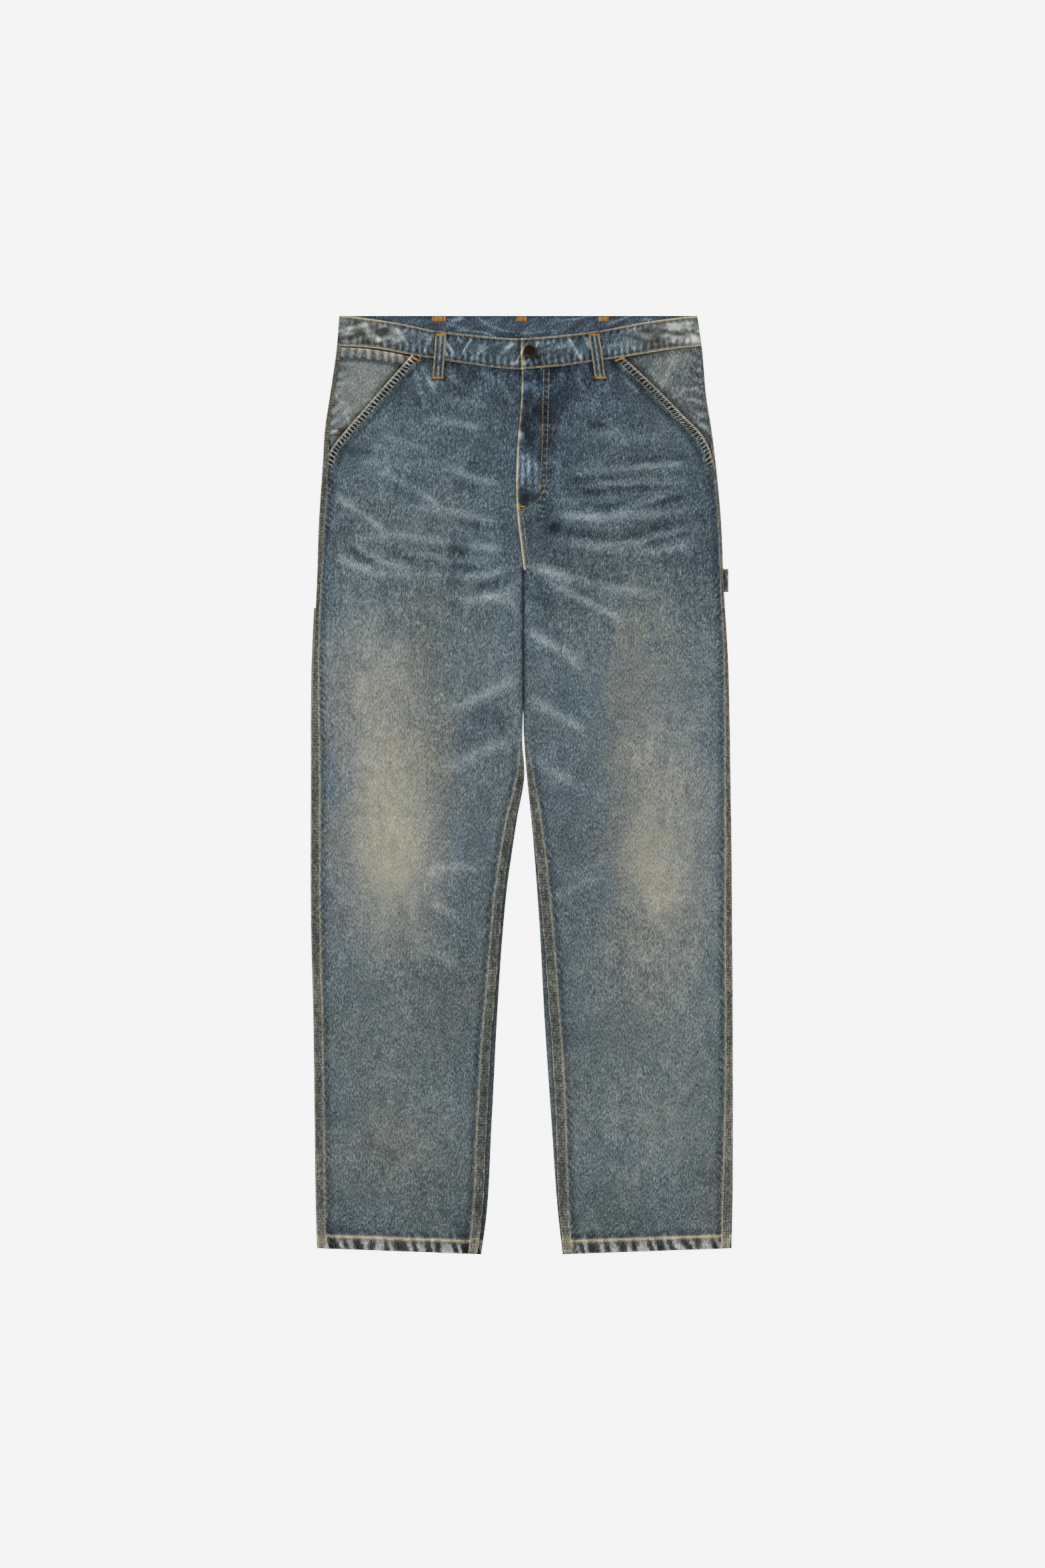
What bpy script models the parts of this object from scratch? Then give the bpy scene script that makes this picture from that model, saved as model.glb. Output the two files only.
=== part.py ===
"""Carpenter pants in denim, laid flat with the front up, as the cloth pieces that a maker cuts and sews.

Sizes are in millimetres, and wall() turns them to metres. X runs across the garment, from the wearer's
right leg to the left one. "down" is the depth below the back waistband's top edge, and Y runs up to the
waist. Z is the height above the surface that the garment lies on. A "row" is a section across a leg: it
lies at its own depth, except near the waistband, whose seam the first rows follow, and near the hem.
"""

import math

import bpy
import numpy as np

# Driving sizes
LENGTH = 1083.4
CLOTH = 1.2
GAP = 0.3
LAYER = CLOTH + GAP
SLACK = 1.3  # how loosely the front lies on the back
EDGE_RADIUS = 2.0  # the rolled edges of a leg
TURNED = 0.8  # what a turned edge adds to one layer
TURNED_WIDTH = 12.0
CROTCH = 293.4
BAND = 2.0  # the waistband's two layers
BAND_HEIGHT = 35.0
BAND_RADIUS = BAND + GAP  # the waistband's fold at the sides
BAND_END = -1.0
BAND_UNDERLAP = 27.0
FLY_END = 235.0
FLY_UNDERLAP = 6.0
POCKET_END = 173.0  # where the slanted pocket meets the side seam
FACING_UNDER = 25.0  # how far the pocket's facing reaches in under the front
COIN_UNDER = 14.0
STRIP = 1.0  # the thickness of a felled seam
STRIP_INSET = 0.9
LOOP = 1.3
LOOP_WIDTH = 12.0
BUTTON_X, BUTTON_DOWN, BUTTON_TILT = 11.4, 41.9, 22.0

RIGHT, LEFT = -1, 1


def table(columns, *rows):
    """A short table of sizes, kept as one array for each named column."""
    return dict(zip(columns.split(), np.array(rows, float).T))


# How the two legs lie: where each leg's outer and inner edge is at a depth
RIGHT_LEG = table(
    "down outer inner",
    (0, -211.0, 1.4),
    (36, -213.8, 1.4),
    (97, -222.5, 1.4),
    (128, -227.2, 1.4),
    (174, -230.2, 1.4),
    (236, -234.4, 1.4),
    (313, -237.0, 1.2),
    (405, -241.9, 0.6),
    (467, -243.6, 0.1),
    (498, -243.8, -0.8),
    (559, -243.9, -2.8),
    (590, -244.0, -7.7),
    (652, -244.1, -16.2),
    (713, -243.5, -22.3),
    (805, -241.2, -28.5),
    (929, -239.5, -35.4),
    (1050, -237.8, -42.2),
    (1083.4, -236.6, -47.0),
)
LEFT_LEG = table(
    "down outer inner",
    (0, 202.8, 1.7),
    (36, 208.0, 1.7),
    (97, 213.6, 1.7),
    (128, 218.7, 1.7),
    (174, 224.5, 1.7),
    (236, 230.2, 1.7),
    (313, 233.4, 1.9),
    (405, 238.8, 2.2),
    (467, 240.2, 2.4),
    (498, 240.8, 3.6),
    (559, 241.6, 8.3),
    (590, 242.2, 11.6),
    (652, 242.8, 16.6),
    (713, 243.2, 20.8),
    (805, 243.8, 25.6),
    (929, 244.1, 33.9),
    (1050, 243.2, 43.1),
    (1083.4, 242.4, 47.2),
)
LEGS = {RIGHT: RIGHT_LEG, LEFT: LEFT_LEG}
# The front waistband's top edge and the seam under it sag to the middle. "rise" is what the pockets under
# its seam lift it by.
FRONT_BAND = table(
    "x top seam rise",
    (-200, 0.6, 35.8, 0.0),
    (-178, 3.5, 37.0, 1.5),
    (-155, 7.0, 40.3, 3.0),
    (-130, 11.5, 45.3, 3.0),
    (-108, 16.3, 49.3, 3.0),
    (-88, 19.1, 52.4, 2.2),
    (-66, 21.3, 55.6, 0.6),
    (-45, 23.4, 58.6, 0.0),
    (-20, 25.6, 61.4, 0.0),
    (0, 26.2, 62.4, 0.0),
    (20, 25.0, 61.0, 0.0),
    (34, 23.9, 59.8, 0.0),
    (48, 22.5, 58.4, 0.0),
    (66, 20.3, 55.6, 0.4),
    (85, 18.0, 53.2, 1.2),
    (106, 14.6, 50.0, 1.5),
    (128, 10.3, 46.4, 1.5),
    (150, 6.7, 42.6, 1.5),
    (170, 3.7, 39.3, 0.8),
    (192, 1.2, 36.7, 0.0),
)
SLANTS = {
    RIGHT: table("down x", (46, -127.5), (77, -154.8), (113, -186.2), (131, -201.9), (162, -224), (173, -227)),
    LEFT: table("down x", (46, 115.5), (83, 154.8), (115, 186.3), (138, 208.2), (162, 219.5), (173, 221.5)),
}
FLY_EDGE = table("down x", (60, 0.0), (97, -1.2), (161, -5.6), (225, -5.6), (259, -1.8), (293.4, 2.4))
# Shallow folds of the front: a ridge or a trough runs from point a to point b
FOLDS = table(
    "ax adown bx bdown spread height",
    (-8, 420, -105, 462, 15, 1.7),
    (-12, 492, -112, 530, 16, 1.6),
    (-10, 456, -100, 496, 14, -0.8),
    (12, 312, 120, 352, 15, 1.4),
    (14, 378, 110, 425, 16, 1.7),
    (18, 450, 100, 500, 17, 1.5),
    (14, 345, 110, 388, 14, -0.7),
    (-200, 240, -60, 300, 18, 1.3),
    (196, 235, 55, 268, 18, 1.2),
    (-175, 320, -118, 470, 20, -0.8),
    (152, 325, 108, 480, 20, -0.8),
    (-218, 640, -90, 606, 19, 1.3),
    (62, 655, 195, 622, 19, 1.4),
    (-208, 745, -75, 782, 20, 1.1),
    (66, 772, 208, 745, 20, 1.1),
    (-205, 985, -85, 1008, 18, 1.0),
    (88, 1006, 208, 982, 18, 1.1),
)
# What lies under the back lifts each leg off the surface down to a depth
LIFT_END = {RIGHT: 496.0, LEFT: 332.0}
LIFT_RAMP = 70.0

# Felled seams: width at a depth. An inside seam comes out from between the legs.
OUTSEAMS = {
    RIGHT: table("down width", (36, 7.0), (174, 8.0), (400, 9.5), (1083.4, 9.5)),
    LEFT: table("down width", (36, 3.0), (340, 3.2), (375, 8.0), (1083.4, 9.0)),
}
INSEAM = table("down inset width", (490, 0.9, 2.2), (560, 1.4, 9.0), (640, 2.4, 10.5), (1083.4, 3.0, 10.5))

HIP_ROWS = (36.0, 48, 64, 80, 97, 113, 128, 139, 150, 162, 173, 180, 192, 205, 220, 235, 249, 262, 277, 291)
LEG_ROWS = tuple(np.linspace(302.0, 1040.0, 28))
ROWS = np.array(HIP_ROWS + LEG_ROWS + (1068.8, 1070.0, LENGTH))
HEM_START = 1070.0
ROLL = (4.3, 45.0, 90.0)  # degrees round a rolled edge
PLAIN = (0.0, 3.0, 6.0)  # distances from a plain edge
BETWEEN = (0.0, 0.1, 0.2, 0.32, 0.44, 0.56, 0.68, 0.8, 0.9, 1.0)


def smooth(t):
    """Eases from 0 to 1 as t goes from 0 to 1."""
    t = np.clip(t, 0.0, 1.0)
    return t * t * (3 - 2 * t)


def read(sizes, name, at, key="down"):
    """A column of a table on a smooth curve: a cubic between two rows, its slope taken from their
    neighbours."""
    x, y = sizes[key], sizes[name]
    slope = np.gradient(y, x)
    at = np.clip(np.asarray(at, float), x[0], x[-1])
    i = np.clip(np.searchsorted(x, at) - 1, 0, len(x) - 2)
    step = x[i + 1] - x[i]
    t = (at - x[i]) / step
    bend = slope[i] * t * (1 - t) ** 2 - slope[i + 1] * t * t * (1 - t)
    return y[i] + (y[i + 1] - y[i]) * smooth(t) + step * bend


def depth(x, row, side, sag=1.0):
    """The depth of a row at x. The front's first rows sag with the waistband's seam."""
    seam = sag * (read(FRONT_BAND, "seam", x, "x") - HIP_ROWS[0])
    across = (np.abs(x) - 48.0) / (abs(LEGS[side]["outer"][-1]) - 48.0)
    hem = -6.9 * np.clip(across, 0.0, 1.0)
    to_seam = 1 - smooth((row - HIP_ROWS[0]) / 110.0)
    return row + seam * to_seam + hem * smooth((row - LENGTH + 160.0) / 140.0)


def lift(side, down):
    """How far the layer under the back lifts the garment."""
    return LAYER * (1 - smooth((down - LIFT_END[side]) / LIFT_RAMP))


def folds(x, down):
    """The height of the shallow folds: a bell across each line from a to b, fading to its ends."""
    height = np.zeros(np.broadcast(x, down).shape)
    for ax, adown, bx, bdown, spread, peak in zip(*FOLDS.values()):
        reach = math.hypot(bx - ax, bdown - adown)
        along = ((x - ax) * (bx - ax) + (down - adown) * (bdown - adown)) / reach
        across = ((x - ax) * (bdown - adown) - (down - adown) * (bx - ax)) / reach
        ends = smooth(along / (0.3 * reach)) * smooth((reach - along) / (0.3 * reach))
        height = height + peak * ends * np.exp(-0.5 * (across / spread) ** 2)
    return height


def front_level(x, down, side):
    """The height of the front's underside over the back: level with the rolled edges, and folded between
    them."""
    outer = np.abs(x - read(LEGS[side], "outer", down))
    inner = np.abs(x - read(LEGS[side], "inner", down)) + 2 * np.maximum(CROTCH - down, 0)
    inside = smooth((np.minimum(outer, inner) - 16.0) / 36.0)
    return lift(side, down) + LAYER + SLACK + folds(x, down) * inside


def row_on_slant(row, side):
    """The depth where a row crosses the slanted pocket's edge, found in a few steps."""
    down = row
    for _ in range(6):
        down = float(depth(read(SLANTS[side], "x", down), row, side))
    return down


def slant_x(row, side):
    return float(read(SLANTS[side], "x", row_on_slant(row, side)))


def pocket_rise(x, down, side):
    """How far the pocket's facing lifts the front over it, and on the right the coin pocket too."""
    past = -side * (x - read(SLANTS[side], "x", down))
    rise = (1 - smooth((past - FACING_UNDER - 8.0) / 30.0)) * (1 - smooth((down - POCKET_END) / 20.0))
    if side == RIGHT:
        above_end = 1 - smooth((down - COIN["down"][-1] - 2.0) / 16.0)
        rise = rise + (1 - smooth((past - COIN_UNDER - 8.0) / 30.0)) * above_end
    return rise * LAYER


def fly_rise(x, down):
    """How far the right front lifts the left one, which laps over it at the fly."""
    past = x - read(FLY_EDGE, "x", down) - FLY_UNDERLAP
    return LAYER * (1 - smooth((past - 14.0) / 30.0)) * (1 - smooth((down - 262.0) / 26.0))


def material(name, colour, roughness, metallic=0.0):
    made = bpy.data.materials.new(name)
    made.use_nodes = True
    shader = made.node_tree.nodes["Principled BSDF"]
    shader.inputs["Base Color"].default_value = (*colour, 1.0)
    shader.inputs["Roughness"].default_value = roughness
    shader.inputs["Metallic"].default_value = metallic
    return made


def wall(name, outside, inside, finish):
    """A closed cloth wall between two grids of points, each holding x, depth and height."""
    rows, columns = outside.shape[:2]
    points = np.concatenate([outside.reshape(-1, 3), inside.reshape(-1, 3)])
    points[:, 1] = LENGTH / 2 - points[:, 1]
    index = np.arange(rows * columns).reshape(rows, columns)
    skin = np.stack([index[:-1, :-1], index[1:, :-1], index[1:, 1:], index[:-1, 1:]], -1).reshape(-1, 4)
    rim = np.concatenate([index[0, :-1], index[:-1, -1], index[-1, :0:-1], index[:0:-1, 0]])
    after = np.roll(rim, -1)
    lower = rows * columns
    edge = np.stack([rim, after, after + lower, rim + lower], -1)
    faces = np.concatenate([skin, skin[:, ::-1] + lower, edge])
    mesh = bpy.data.meshes.new(name)
    mesh.from_pydata((points / 1000.0).tolist(), [], faces.tolist())
    if volume(mesh) < 0:
        mesh.flip_normals()
    return placed(name, mesh, finish)


def volume(mesh):
    mesh.calc_loop_triangles()
    corners = [[mesh.vertices[v].co for v in t.vertices] for t in mesh.loop_triangles]
    return sum(a.dot(b.cross(c)) for a, b, c in corners) / 6.0


def placed(name, mesh, finish):
    mesh.materials.append(finish)
    mesh.shade_smooth()
    mesh.set_sharp_from_angle(angle=math.radians(35))
    made = bpy.data.objects.new(name, mesh)
    garment.objects.link(made)
    return made


def stack(x, down, height):
    return np.stack(np.broadcast_arrays(x, down, height), -1).astype(float)


def edge_columns(edge, inward, is_rolled):
    """Three columns at an edge, round its roll or on the flat: where each is, inward, and its turn."""
    if is_rolled:
        return [(edge, inward, turn) for turn in ROLL]
    return [(edge + inward * apart, 0.0, math.nan) for apart in PLAIN]


def on_roll(columns, radius):
    """The x of the columns at a radius of the roll, and their height on it, which is nan on the flat."""
    edge, inward, turn = np.moveaxis(np.array(columns), -1, 0)
    angle = np.radians(turn)
    x = np.where(np.isnan(turn), edge, edge + inward * (EDGE_RADIUS - radius * np.cos(angle)))
    return x, radius * np.sin(angle)


def panel_columns(side, outer, outer_rolled, inner, inner_rolled):
    """The columns of one section of a leg panel, from its outer edge to its inner one."""
    start = outer - side * TURNED_WIDTH
    step = start - side * 1.5
    end = inner + side * 12.0
    between = [start] + [step + (end - step) * share for share in BETWEEN]
    return (
        edge_columns(outer, -side, outer_rolled)
        + [(x, 0.0, math.nan) for x in between]
        + edge_columns(inner, side, inner_rolled)[::-1]
    )


def front(name, side):
    """A front leg panel, from the slanted pocket and the fly down to the hem."""
    leg = LEGS[side]
    sections = []
    for row in ROWS:
        under_pocket, under_crotch = row > POCKET_END, row > CROTCH
        outer = float(read(leg, "outer", row)) if under_pocket else slant_x(row, side)
        inner = float(read(leg, "inner", row))
        if not under_crotch:
            inner = float(read(FLY_EDGE, "x", row))
            if side == RIGHT:
                inner += (FLY_UNDERLAP + 0.5) * (1 - smooth((row - FLY_END) / 27.0)) - 0.5
        sections.append(panel_columns(side, outer, under_pocket, inner, under_crotch))
    x, roll = on_roll(sections, EDGE_RADIUS)
    x_in, roll_in = on_roll(sections, EDGE_RADIUS - CLOTH)
    down = depth(x, ROWS[:, None], side)
    low = front_level(x, down, side) + pocket_rise(x, down, side)
    if side == LEFT:
        low = low + fly_rise(x, down)
    turned = np.zeros(x.shape)
    turned[ROWS <= POCKET_END, : len(PLAIN) + 1] = TURNED
    turned[ROWS >= HEM_START] = TURNED
    base = lift(side, down) + EDGE_RADIUS
    flat = np.isnan(roll)
    top = np.where(flat, low + CLOTH + turned, base + roll * (1 + turned / EDGE_RADIUS))
    bottom = np.where(flat, low, base + roll_in)
    return wall(name, stack(x, down, top), stack(x_in, down, bottom), denim)


def back(name, side):
    """A back leg panel, which lies on the surface. Its edges roll up to meet the front's."""
    leg = LEGS[side]
    sections = []
    for row in ROWS:
        outer, inner = float(read(leg, "outer", row)), float(read(leg, "inner", row))
        sections.append(panel_columns(side, outer, True, inner, row > CROTCH))
    x, roll = on_roll(sections, EDGE_RADIUS)
    x_in, roll_in = on_roll(sections, EDGE_RADIUS - CLOTH)
    down = depth(x, ROWS[:, None], side, sag=0.0)
    base = lift(side, down)
    flat = np.isnan(roll)
    low = np.where(flat, base, base + EDGE_RADIUS - roll)
    top = np.where(flat, base + CLOTH, base + EDGE_RADIUS - roll_in)
    return wall(name, stack(x, down, low), stack(x_in, down, top), denim)


def facing(name, side):
    """The denim in the pocket's corner, which reaches in under the front."""
    rows = np.array([row for row in HIP_ROWS if row < 163.0] + [POCKET_END - 5.0])
    sections = []
    for row in rows:
        outer = float(read(LEGS[side], "outer", row))
        start = outer - side * 12.0
        end = slant_x(row, side) - side * FACING_UNDER
        flat = [(start + (end - start) * share, 0.0, math.nan) for share in (0, 0.25, 0.5, 0.75, 1)]
        sections.append(edge_columns(outer, -side, True) + flat)
    x, roll = on_roll(sections, EDGE_RADIUS)
    x_in, roll_in = on_roll(sections, EDGE_RADIUS - CLOTH)
    down = depth(x, rows[:, None], side)
    low = front_level(x, down, side)
    base = lift(side, down) + EDGE_RADIUS
    top = np.where(np.isnan(roll), low + CLOTH, base + roll)
    bottom = np.where(np.isnan(roll), low, base + roll_in)
    return wall(name, stack(x, down, top), stack(x_in, down, bottom), denim)


# The coin pocket's rows, and whether its top edge is turned in at each
COIN = table("down turned", (38.5, 1), (47.5, 1), (48.5, 0), (64, 0), (80, 0), (97, 0), (113, 0), (128, 0), (137, 0))


def coin_pocket(name):
    """The small pocket sewn on the right facing, just under the waistband."""
    rows = COIN["down"]
    start = read(RIGHT_LEG, "outer", rows) + 11.0
    slant = np.array([slant_x(row, RIGHT) for row in rows])
    shown = np.array([0.0, 0.35, 0.7, 1.0])
    x = np.concatenate(
        [start[:, None] + (slant - 2.0 - start)[:, None] * shown, slant[:, None] + [0.0, COIN_UNDER]], 1
    )
    down = depth(x, rows[:, None], RIGHT)
    low = front_level(x, down, RIGHT) + LAYER
    top = low + CLOTH
    top[:, : len(shown)] += 0.5 * TURNED * COIN["turned"][:, None]
    return wall(name, stack(x, down, top), stack(x, down, low), denim)


def strip(name, side, rows, start, width, over=0.0):
    """A felled seam along a leg's edge, lifted by "over" where it crosses another piece."""
    x = np.stack([start, start + width], -1)
    down = depth(x, rows[:, None], side)
    low = lift(side, down) + 2 * EDGE_RADIUS + GAP + np.reshape(over, (-1, 1))
    return wall(name, stack(x, down, low + STRIP), stack(x, down, low), seam_denim)


def outseam(name, side):
    rows = np.append(ROWS[:-3], (1055.0, 1068.0))
    start = read(LEGS[side], "outer", rows) - side * STRIP_INSET
    over = (LAYER + TURNED + 0.5) * smooth((rows - 126.0) / 20.0) * (1 - smooth((rows - 180.0) / 20.0))
    return strip(name, side, rows, start, -side * read(OUTSEAMS[side], "width", rows), over)


def inseam(name, side):
    rows = np.array([row for row in LEG_ROWS if row > 495.0] + [1055.0, 1068.0])
    start = read(LEGS[side], "inner", rows) + side * read(INSEAM, "inset", rows)
    return strip(name, side, rows, start, side * read(INSEAM, "width", rows))


def waistband(name):
    """One long strip, two layers thick: from the underlap round the right side, along the back, round the
    left side, and over the underlap to its end at the fly."""
    across = np.linspace(0.0, 1.0, 4)
    sections = []

    def add(x, down, low, high):
        sections.append((stack(x, down, high), stack(x, down, low)))

    def on_front(x, overlap):
        top = float(np.interp(x, FRONT_BAND["x"], FRONT_BAND["top"]))
        seam = float(read(FRONT_BAND, "seam", x, "x")) - GAP
        low = LAYER + BAND + 2 * GAP + float(np.interp(x, FRONT_BAND["x"], FRONT_BAND["rise"]))
        if overlap:
            low += (BAND + GAP) * float(1 - smooth((x - 34.0) / 24.0))
        add(x, top + (seam - top) * across, low, low + BAND)

    def on_side(leg, inward, turns):
        down = across * BAND_HEIGHT
        edge = read(leg, "outer", down)
        for turn in turns:
            angle = math.radians(turn)
            points = []
            for radius in (BAND_RADIUS, BAND_RADIUS - BAND):
                x = edge + inward * (BAND_RADIUS - radius * math.cos(angle))
                points.append(stack(x, down, LAYER + BAND_RADIUS + radius * math.sin(angle)))
            sections.append(tuple(points))

    columns = FRONT_BAND["x"]
    for x in (BAND_UNDERLAP, 10.0, *columns[columns < -10][::-1]):
        on_front(x, False)
    on_side(RIGHT_LEG, 1, (90, 45, 0, -45, -90))
    for x in np.linspace(-196.0, 188.0, 13):
        add(x, across * BAND_HEIGHT, LAYER + BAND, LAYER)
    on_side(LEFT_LEG, -1, (-90, -45, 0, 45, 90))
    for x in (*columns[columns > 10][::-1], 8.0, BAND_END):
        on_front(x, True)
    outside, inside = map(np.array, zip(*sections))
    return wall(name, outside, inside, denim)


def front_loop(name, side, top_x, end_x, top, end):
    """A belt loop on the front, from the waistband's top edge over its seam to the panel."""
    down = np.linspace(top, end, 8)[:, None]
    x = np.linspace(top_x, end_x, 8)[:, None] + LOOP_WIDTH * np.array([-0.5, 0.5])
    seam = float(read(FRONT_BAND, "seam", end_x, "x"))
    band_top = LAYER + 2 * BAND + 2 * GAP + np.interp(x, FRONT_BAND["x"], FRONT_BAND["rise"])
    panel_top = front_level(x, down, side) + pocket_rise(x, down, side) + CLOTH
    low = np.where(down < seam + 4.0, np.maximum(band_top, panel_top[-1]), panel_top) + GAP + 0.4
    return wall(name, stack(x, down, low + LOOP), stack(x, down, low), denim)


def patch(name, rows, thickness=CLOTH):
    """A plain piece that lies on the surface under the back. "point" is how far its middle hangs lower."""
    shares = np.array([0.0, 0.25, 0.5, 0.75, 1.0])
    left, right, down, point = (rows[key][:, None] for key in ("left", "right", "down", "point"))
    x = left + (right - left) * shares
    down = down + point * (1 - np.abs(2 * shares - 1))
    return wall(name, stack(x, down, thickness), stack(x, down, 0.0), denim)


def button(name):
    """The metal button on the waistband's end, turned in one and tipped a little on its shank."""
    profile = table(
        "radius height",
        (0.0, 0.0),
        (3.2, 0.0),
        (3.2, 3.4),
        (7.7, 3.6),
        (8.5, 4.4),
        (8.2, 5.4),
        (6.6, 6.1),
        (5.6, 5.7),
        (0.0, 5.5),
    )
    mesh = bpy.data.meshes.new(name)
    points = np.stack([profile["radius"], 0 * profile["radius"], profile["height"]], -1) / 1000.0
    count = len(points)
    mesh.from_pydata(points.tolist(), [(i, i + 1) for i in range(count - 1)], [])
    made = placed(name, mesh, dark_metal)
    screw = made.modifiers.new("turned", "SCREW")
    screw.steps = screw.render_steps = 36
    screw.use_merge_vertices = True
    screw.merge_threshold = 0.00005
    screw.use_normal_calculate = True
    tilt = math.radians(BUTTON_TILT)
    band_top = LAYER + 3 * BAND + 3 * GAP
    made.rotation_euler = (0.0, -tilt, 0.0)
    height = band_top + GAP + 3.2 * math.sin(tilt)
    made.location = (BUTTON_X / 1000, (LENGTH / 2 - BUTTON_DOWN) / 1000, height / 1000)
    return made


for old in list(bpy.data.objects):
    bpy.data.objects.remove(old, do_unlink=True)

garment = bpy.data.collections.new("carpenter_pants")
bpy.context.scene.collection.children.link(garment)

denim = material("washed_denim", (0.125, 0.165, 0.185), 0.85)
seam_denim = material("felled_seam", (0.14, 0.135, 0.11), 0.85)
dark_metal = material("burnished_metal", (0.03, 0.022, 0.016), 0.4, 0.8)

for word, side in (("right", RIGHT), ("left", LEFT)):
    back("back_" + word, side)
    front("front_" + word, side)
    facing("pocket_facing_" + word, side)
    outseam("outseam_" + word, side)
    inseam("inseam_" + word, side)
coin_pocket("coin_pocket")
waistband("waistband")
front_loop("belt_loop_front_right", RIGHT, -93.2, -97.2, 21.6, 72.8)
front_loop("belt_loop_front_left", LEFT, 83.3, 90.7, 21.6, 72.8)

# Hidden pieces on the back, which the garment lies on
for word, x in (("right", -95.5), ("centre", 0.0), ("left", 94.7)):
    half = LOOP_WIDTH / 2
    patch(
        "belt_loop_back_" + word,
        table("down left right point", (1, x - half, x + half, 0), (56, x - half, x + half, 0)),
    )
patch(
    "back_pocket_right",
    table("down left right point", (92, -187, -33, 0), (150, -184, -36, 0), (235, -178, -42, 22)),
)
patch(
    "back_pocket_left",
    table("down left right point", (92, 33, 183, 0), (150, 36, 180, 0), (235, 42, 174, 22)),
)
patch(
    "tool_pocket",
    table("down left right point", (337, -240.3, -118, 0), (405, -243.3, -120, 0), (482, -244.1, -124, 0)),
)
patch("hammer_loop", table("down left right point", (292, 120, 238.8, 0), (319, 120, 238.8, 0)))
button("button")
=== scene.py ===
"""Washed carpenter pants, laid flat with the front up on a pale floor.

Sizes are in millimetres, and a mesh turns them to metres as it is made. X runs from the wearer's right leg
to the left one, "down" is the depth below the back waistband's top edge, and Z runs up from the floor.
"""

import math

import bpy
import numpy as np
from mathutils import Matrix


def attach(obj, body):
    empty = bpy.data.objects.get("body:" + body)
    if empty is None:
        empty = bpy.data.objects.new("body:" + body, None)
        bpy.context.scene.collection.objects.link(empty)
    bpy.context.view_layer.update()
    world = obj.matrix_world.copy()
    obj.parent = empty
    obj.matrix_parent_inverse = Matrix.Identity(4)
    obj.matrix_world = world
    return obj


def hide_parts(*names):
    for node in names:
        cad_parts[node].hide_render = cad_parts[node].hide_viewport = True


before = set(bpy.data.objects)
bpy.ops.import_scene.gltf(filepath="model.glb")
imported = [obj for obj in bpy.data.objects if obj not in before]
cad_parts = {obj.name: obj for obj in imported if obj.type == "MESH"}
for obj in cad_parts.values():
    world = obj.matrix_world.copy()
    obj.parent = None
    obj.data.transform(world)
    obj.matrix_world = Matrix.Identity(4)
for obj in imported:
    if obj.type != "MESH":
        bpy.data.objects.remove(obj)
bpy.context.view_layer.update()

# The back leg panels
# Heavy indigo twill with a pale weft, stone washed after sewing. Each panel is one layer that lies on the
# floor, raised a little by the pockets under it, and its edges roll up into the side and inside seams.
# Depths down the legs, then the cloth's thickness, the air between two layers, and the rolled edges' radius
LENGTH = 1083.4
WAIST_SEAM = 36.0
CROTCH = 293.4
HEM_RISE = 6.9
CLOTH = 1.2
GAP = 0.3
LAYER = CLOTH + GAP
ROLL = 2.0
RIGHT, LEFT = -1, 1
WORDS = {RIGHT: "right", LEFT: "left"}


def table(columns, *rows):
    """A short table of sizes, kept as one array for each named column."""
    return dict(zip(columns.split(), np.array(rows, float).T))


RIGHT_LEG = table(
    "down outer inner",
    (0, -211.0, 1.55), (36, -213.8, 1.55), (97, -222.5, 1.55), (128, -227.2, 1.55),
    (174, -230.2, 1.55), (236, -234.4, 1.55), (313, -237.0, 1.55), (405, -241.9, 1.55),
    (455, -243.4, 1.55), (475, -243.7, 1.0), (498, -243.8, 1.0), (514, -243.8, 2.6),
    (530, -243.9, 3.2), (545, -243.9, 1.5), (559, -243.9, -1.1), (575, -244.0, -4.4),
    (590, -244.0, -6.8), (620, -244.1, -11.3), (652, -244.1, -15.9), (713, -243.5, -21.9),
    (805, -241.2, -28.1), (929, -239.5, -34.5), (1050, -237.8, -42.0), (1083.4, -236.6, -46.8),
)
LEFT_LEG = table(
    "down outer inner",
    (0, 202.8, 1.55), (36, 208.0, 1.55), (97, 213.6, 1.55), (128, 218.7, 1.55),
    (174, 224.5, 1.55), (236, 230.2, 1.55), (313, 233.4, 1.55), (405, 238.8, 1.55),
    (455, 240.0, 1.55), (475, 240.4, 1.8), (498, 240.8, 3.0), (530, 241.2, 5.5),
    (559, 241.6, 8.4), (590, 242.2, 11.6), (652, 242.8, 16.6), (713, 243.2, 20.8),
    (805, 243.8, 25.6), (929, 244.1, 33.9), (1050, 243.2, 43.1), (1083.4, 242.4, 47.2),
)
LEGS = {RIGHT: RIGHT_LEG, LEFT: LEFT_LEG}
# The front waistband: the depths of its top edge and its seam, and what the pockets under it raise it by
FRONT_BAND = table(
    "x top seam rise",
    (-213, 0.0, 35.4, 0.0), (-200, 0.6, 35.6, 0.0), (-178, 3.5, 37.0, 1.5), (-155, 7.0, 40.3, 3.0),
    (-130, 11.5, 45.3, 3.0), (-108, 16.3, 49.3, 3.0), (-88, 19.1, 52.4, 2.2), (-66, 21.3, 55.6, 0.6),
    (-45, 23.4, 58.6, 0.0), (-20, 25.6, 61.4, 0.0), (0, 26.2, 62.4, 0.0), (20, 25.0, 61.0, 0.0),
    (34, 23.9, 59.8, 0.0), (48, 22.5, 58.4, 0.0), (66, 20.3, 55.6, 0.4), (85, 18.0, 53.2, 1.2),
    (106, 14.6, 50.0, 1.5), (128, 10.3, 46.4, 1.5), (150, 6.7, 42.6, 1.5), (170, 3.7, 39.3, 0.8),
    (192, 1.2, 36.7, 0.0), (208, 0.0, 35.6, 0.0),
)
# How far down the pockets and loops under each leg reach
LIFT_END = {RIGHT: 496.0, LEFT: 332.0}
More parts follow.
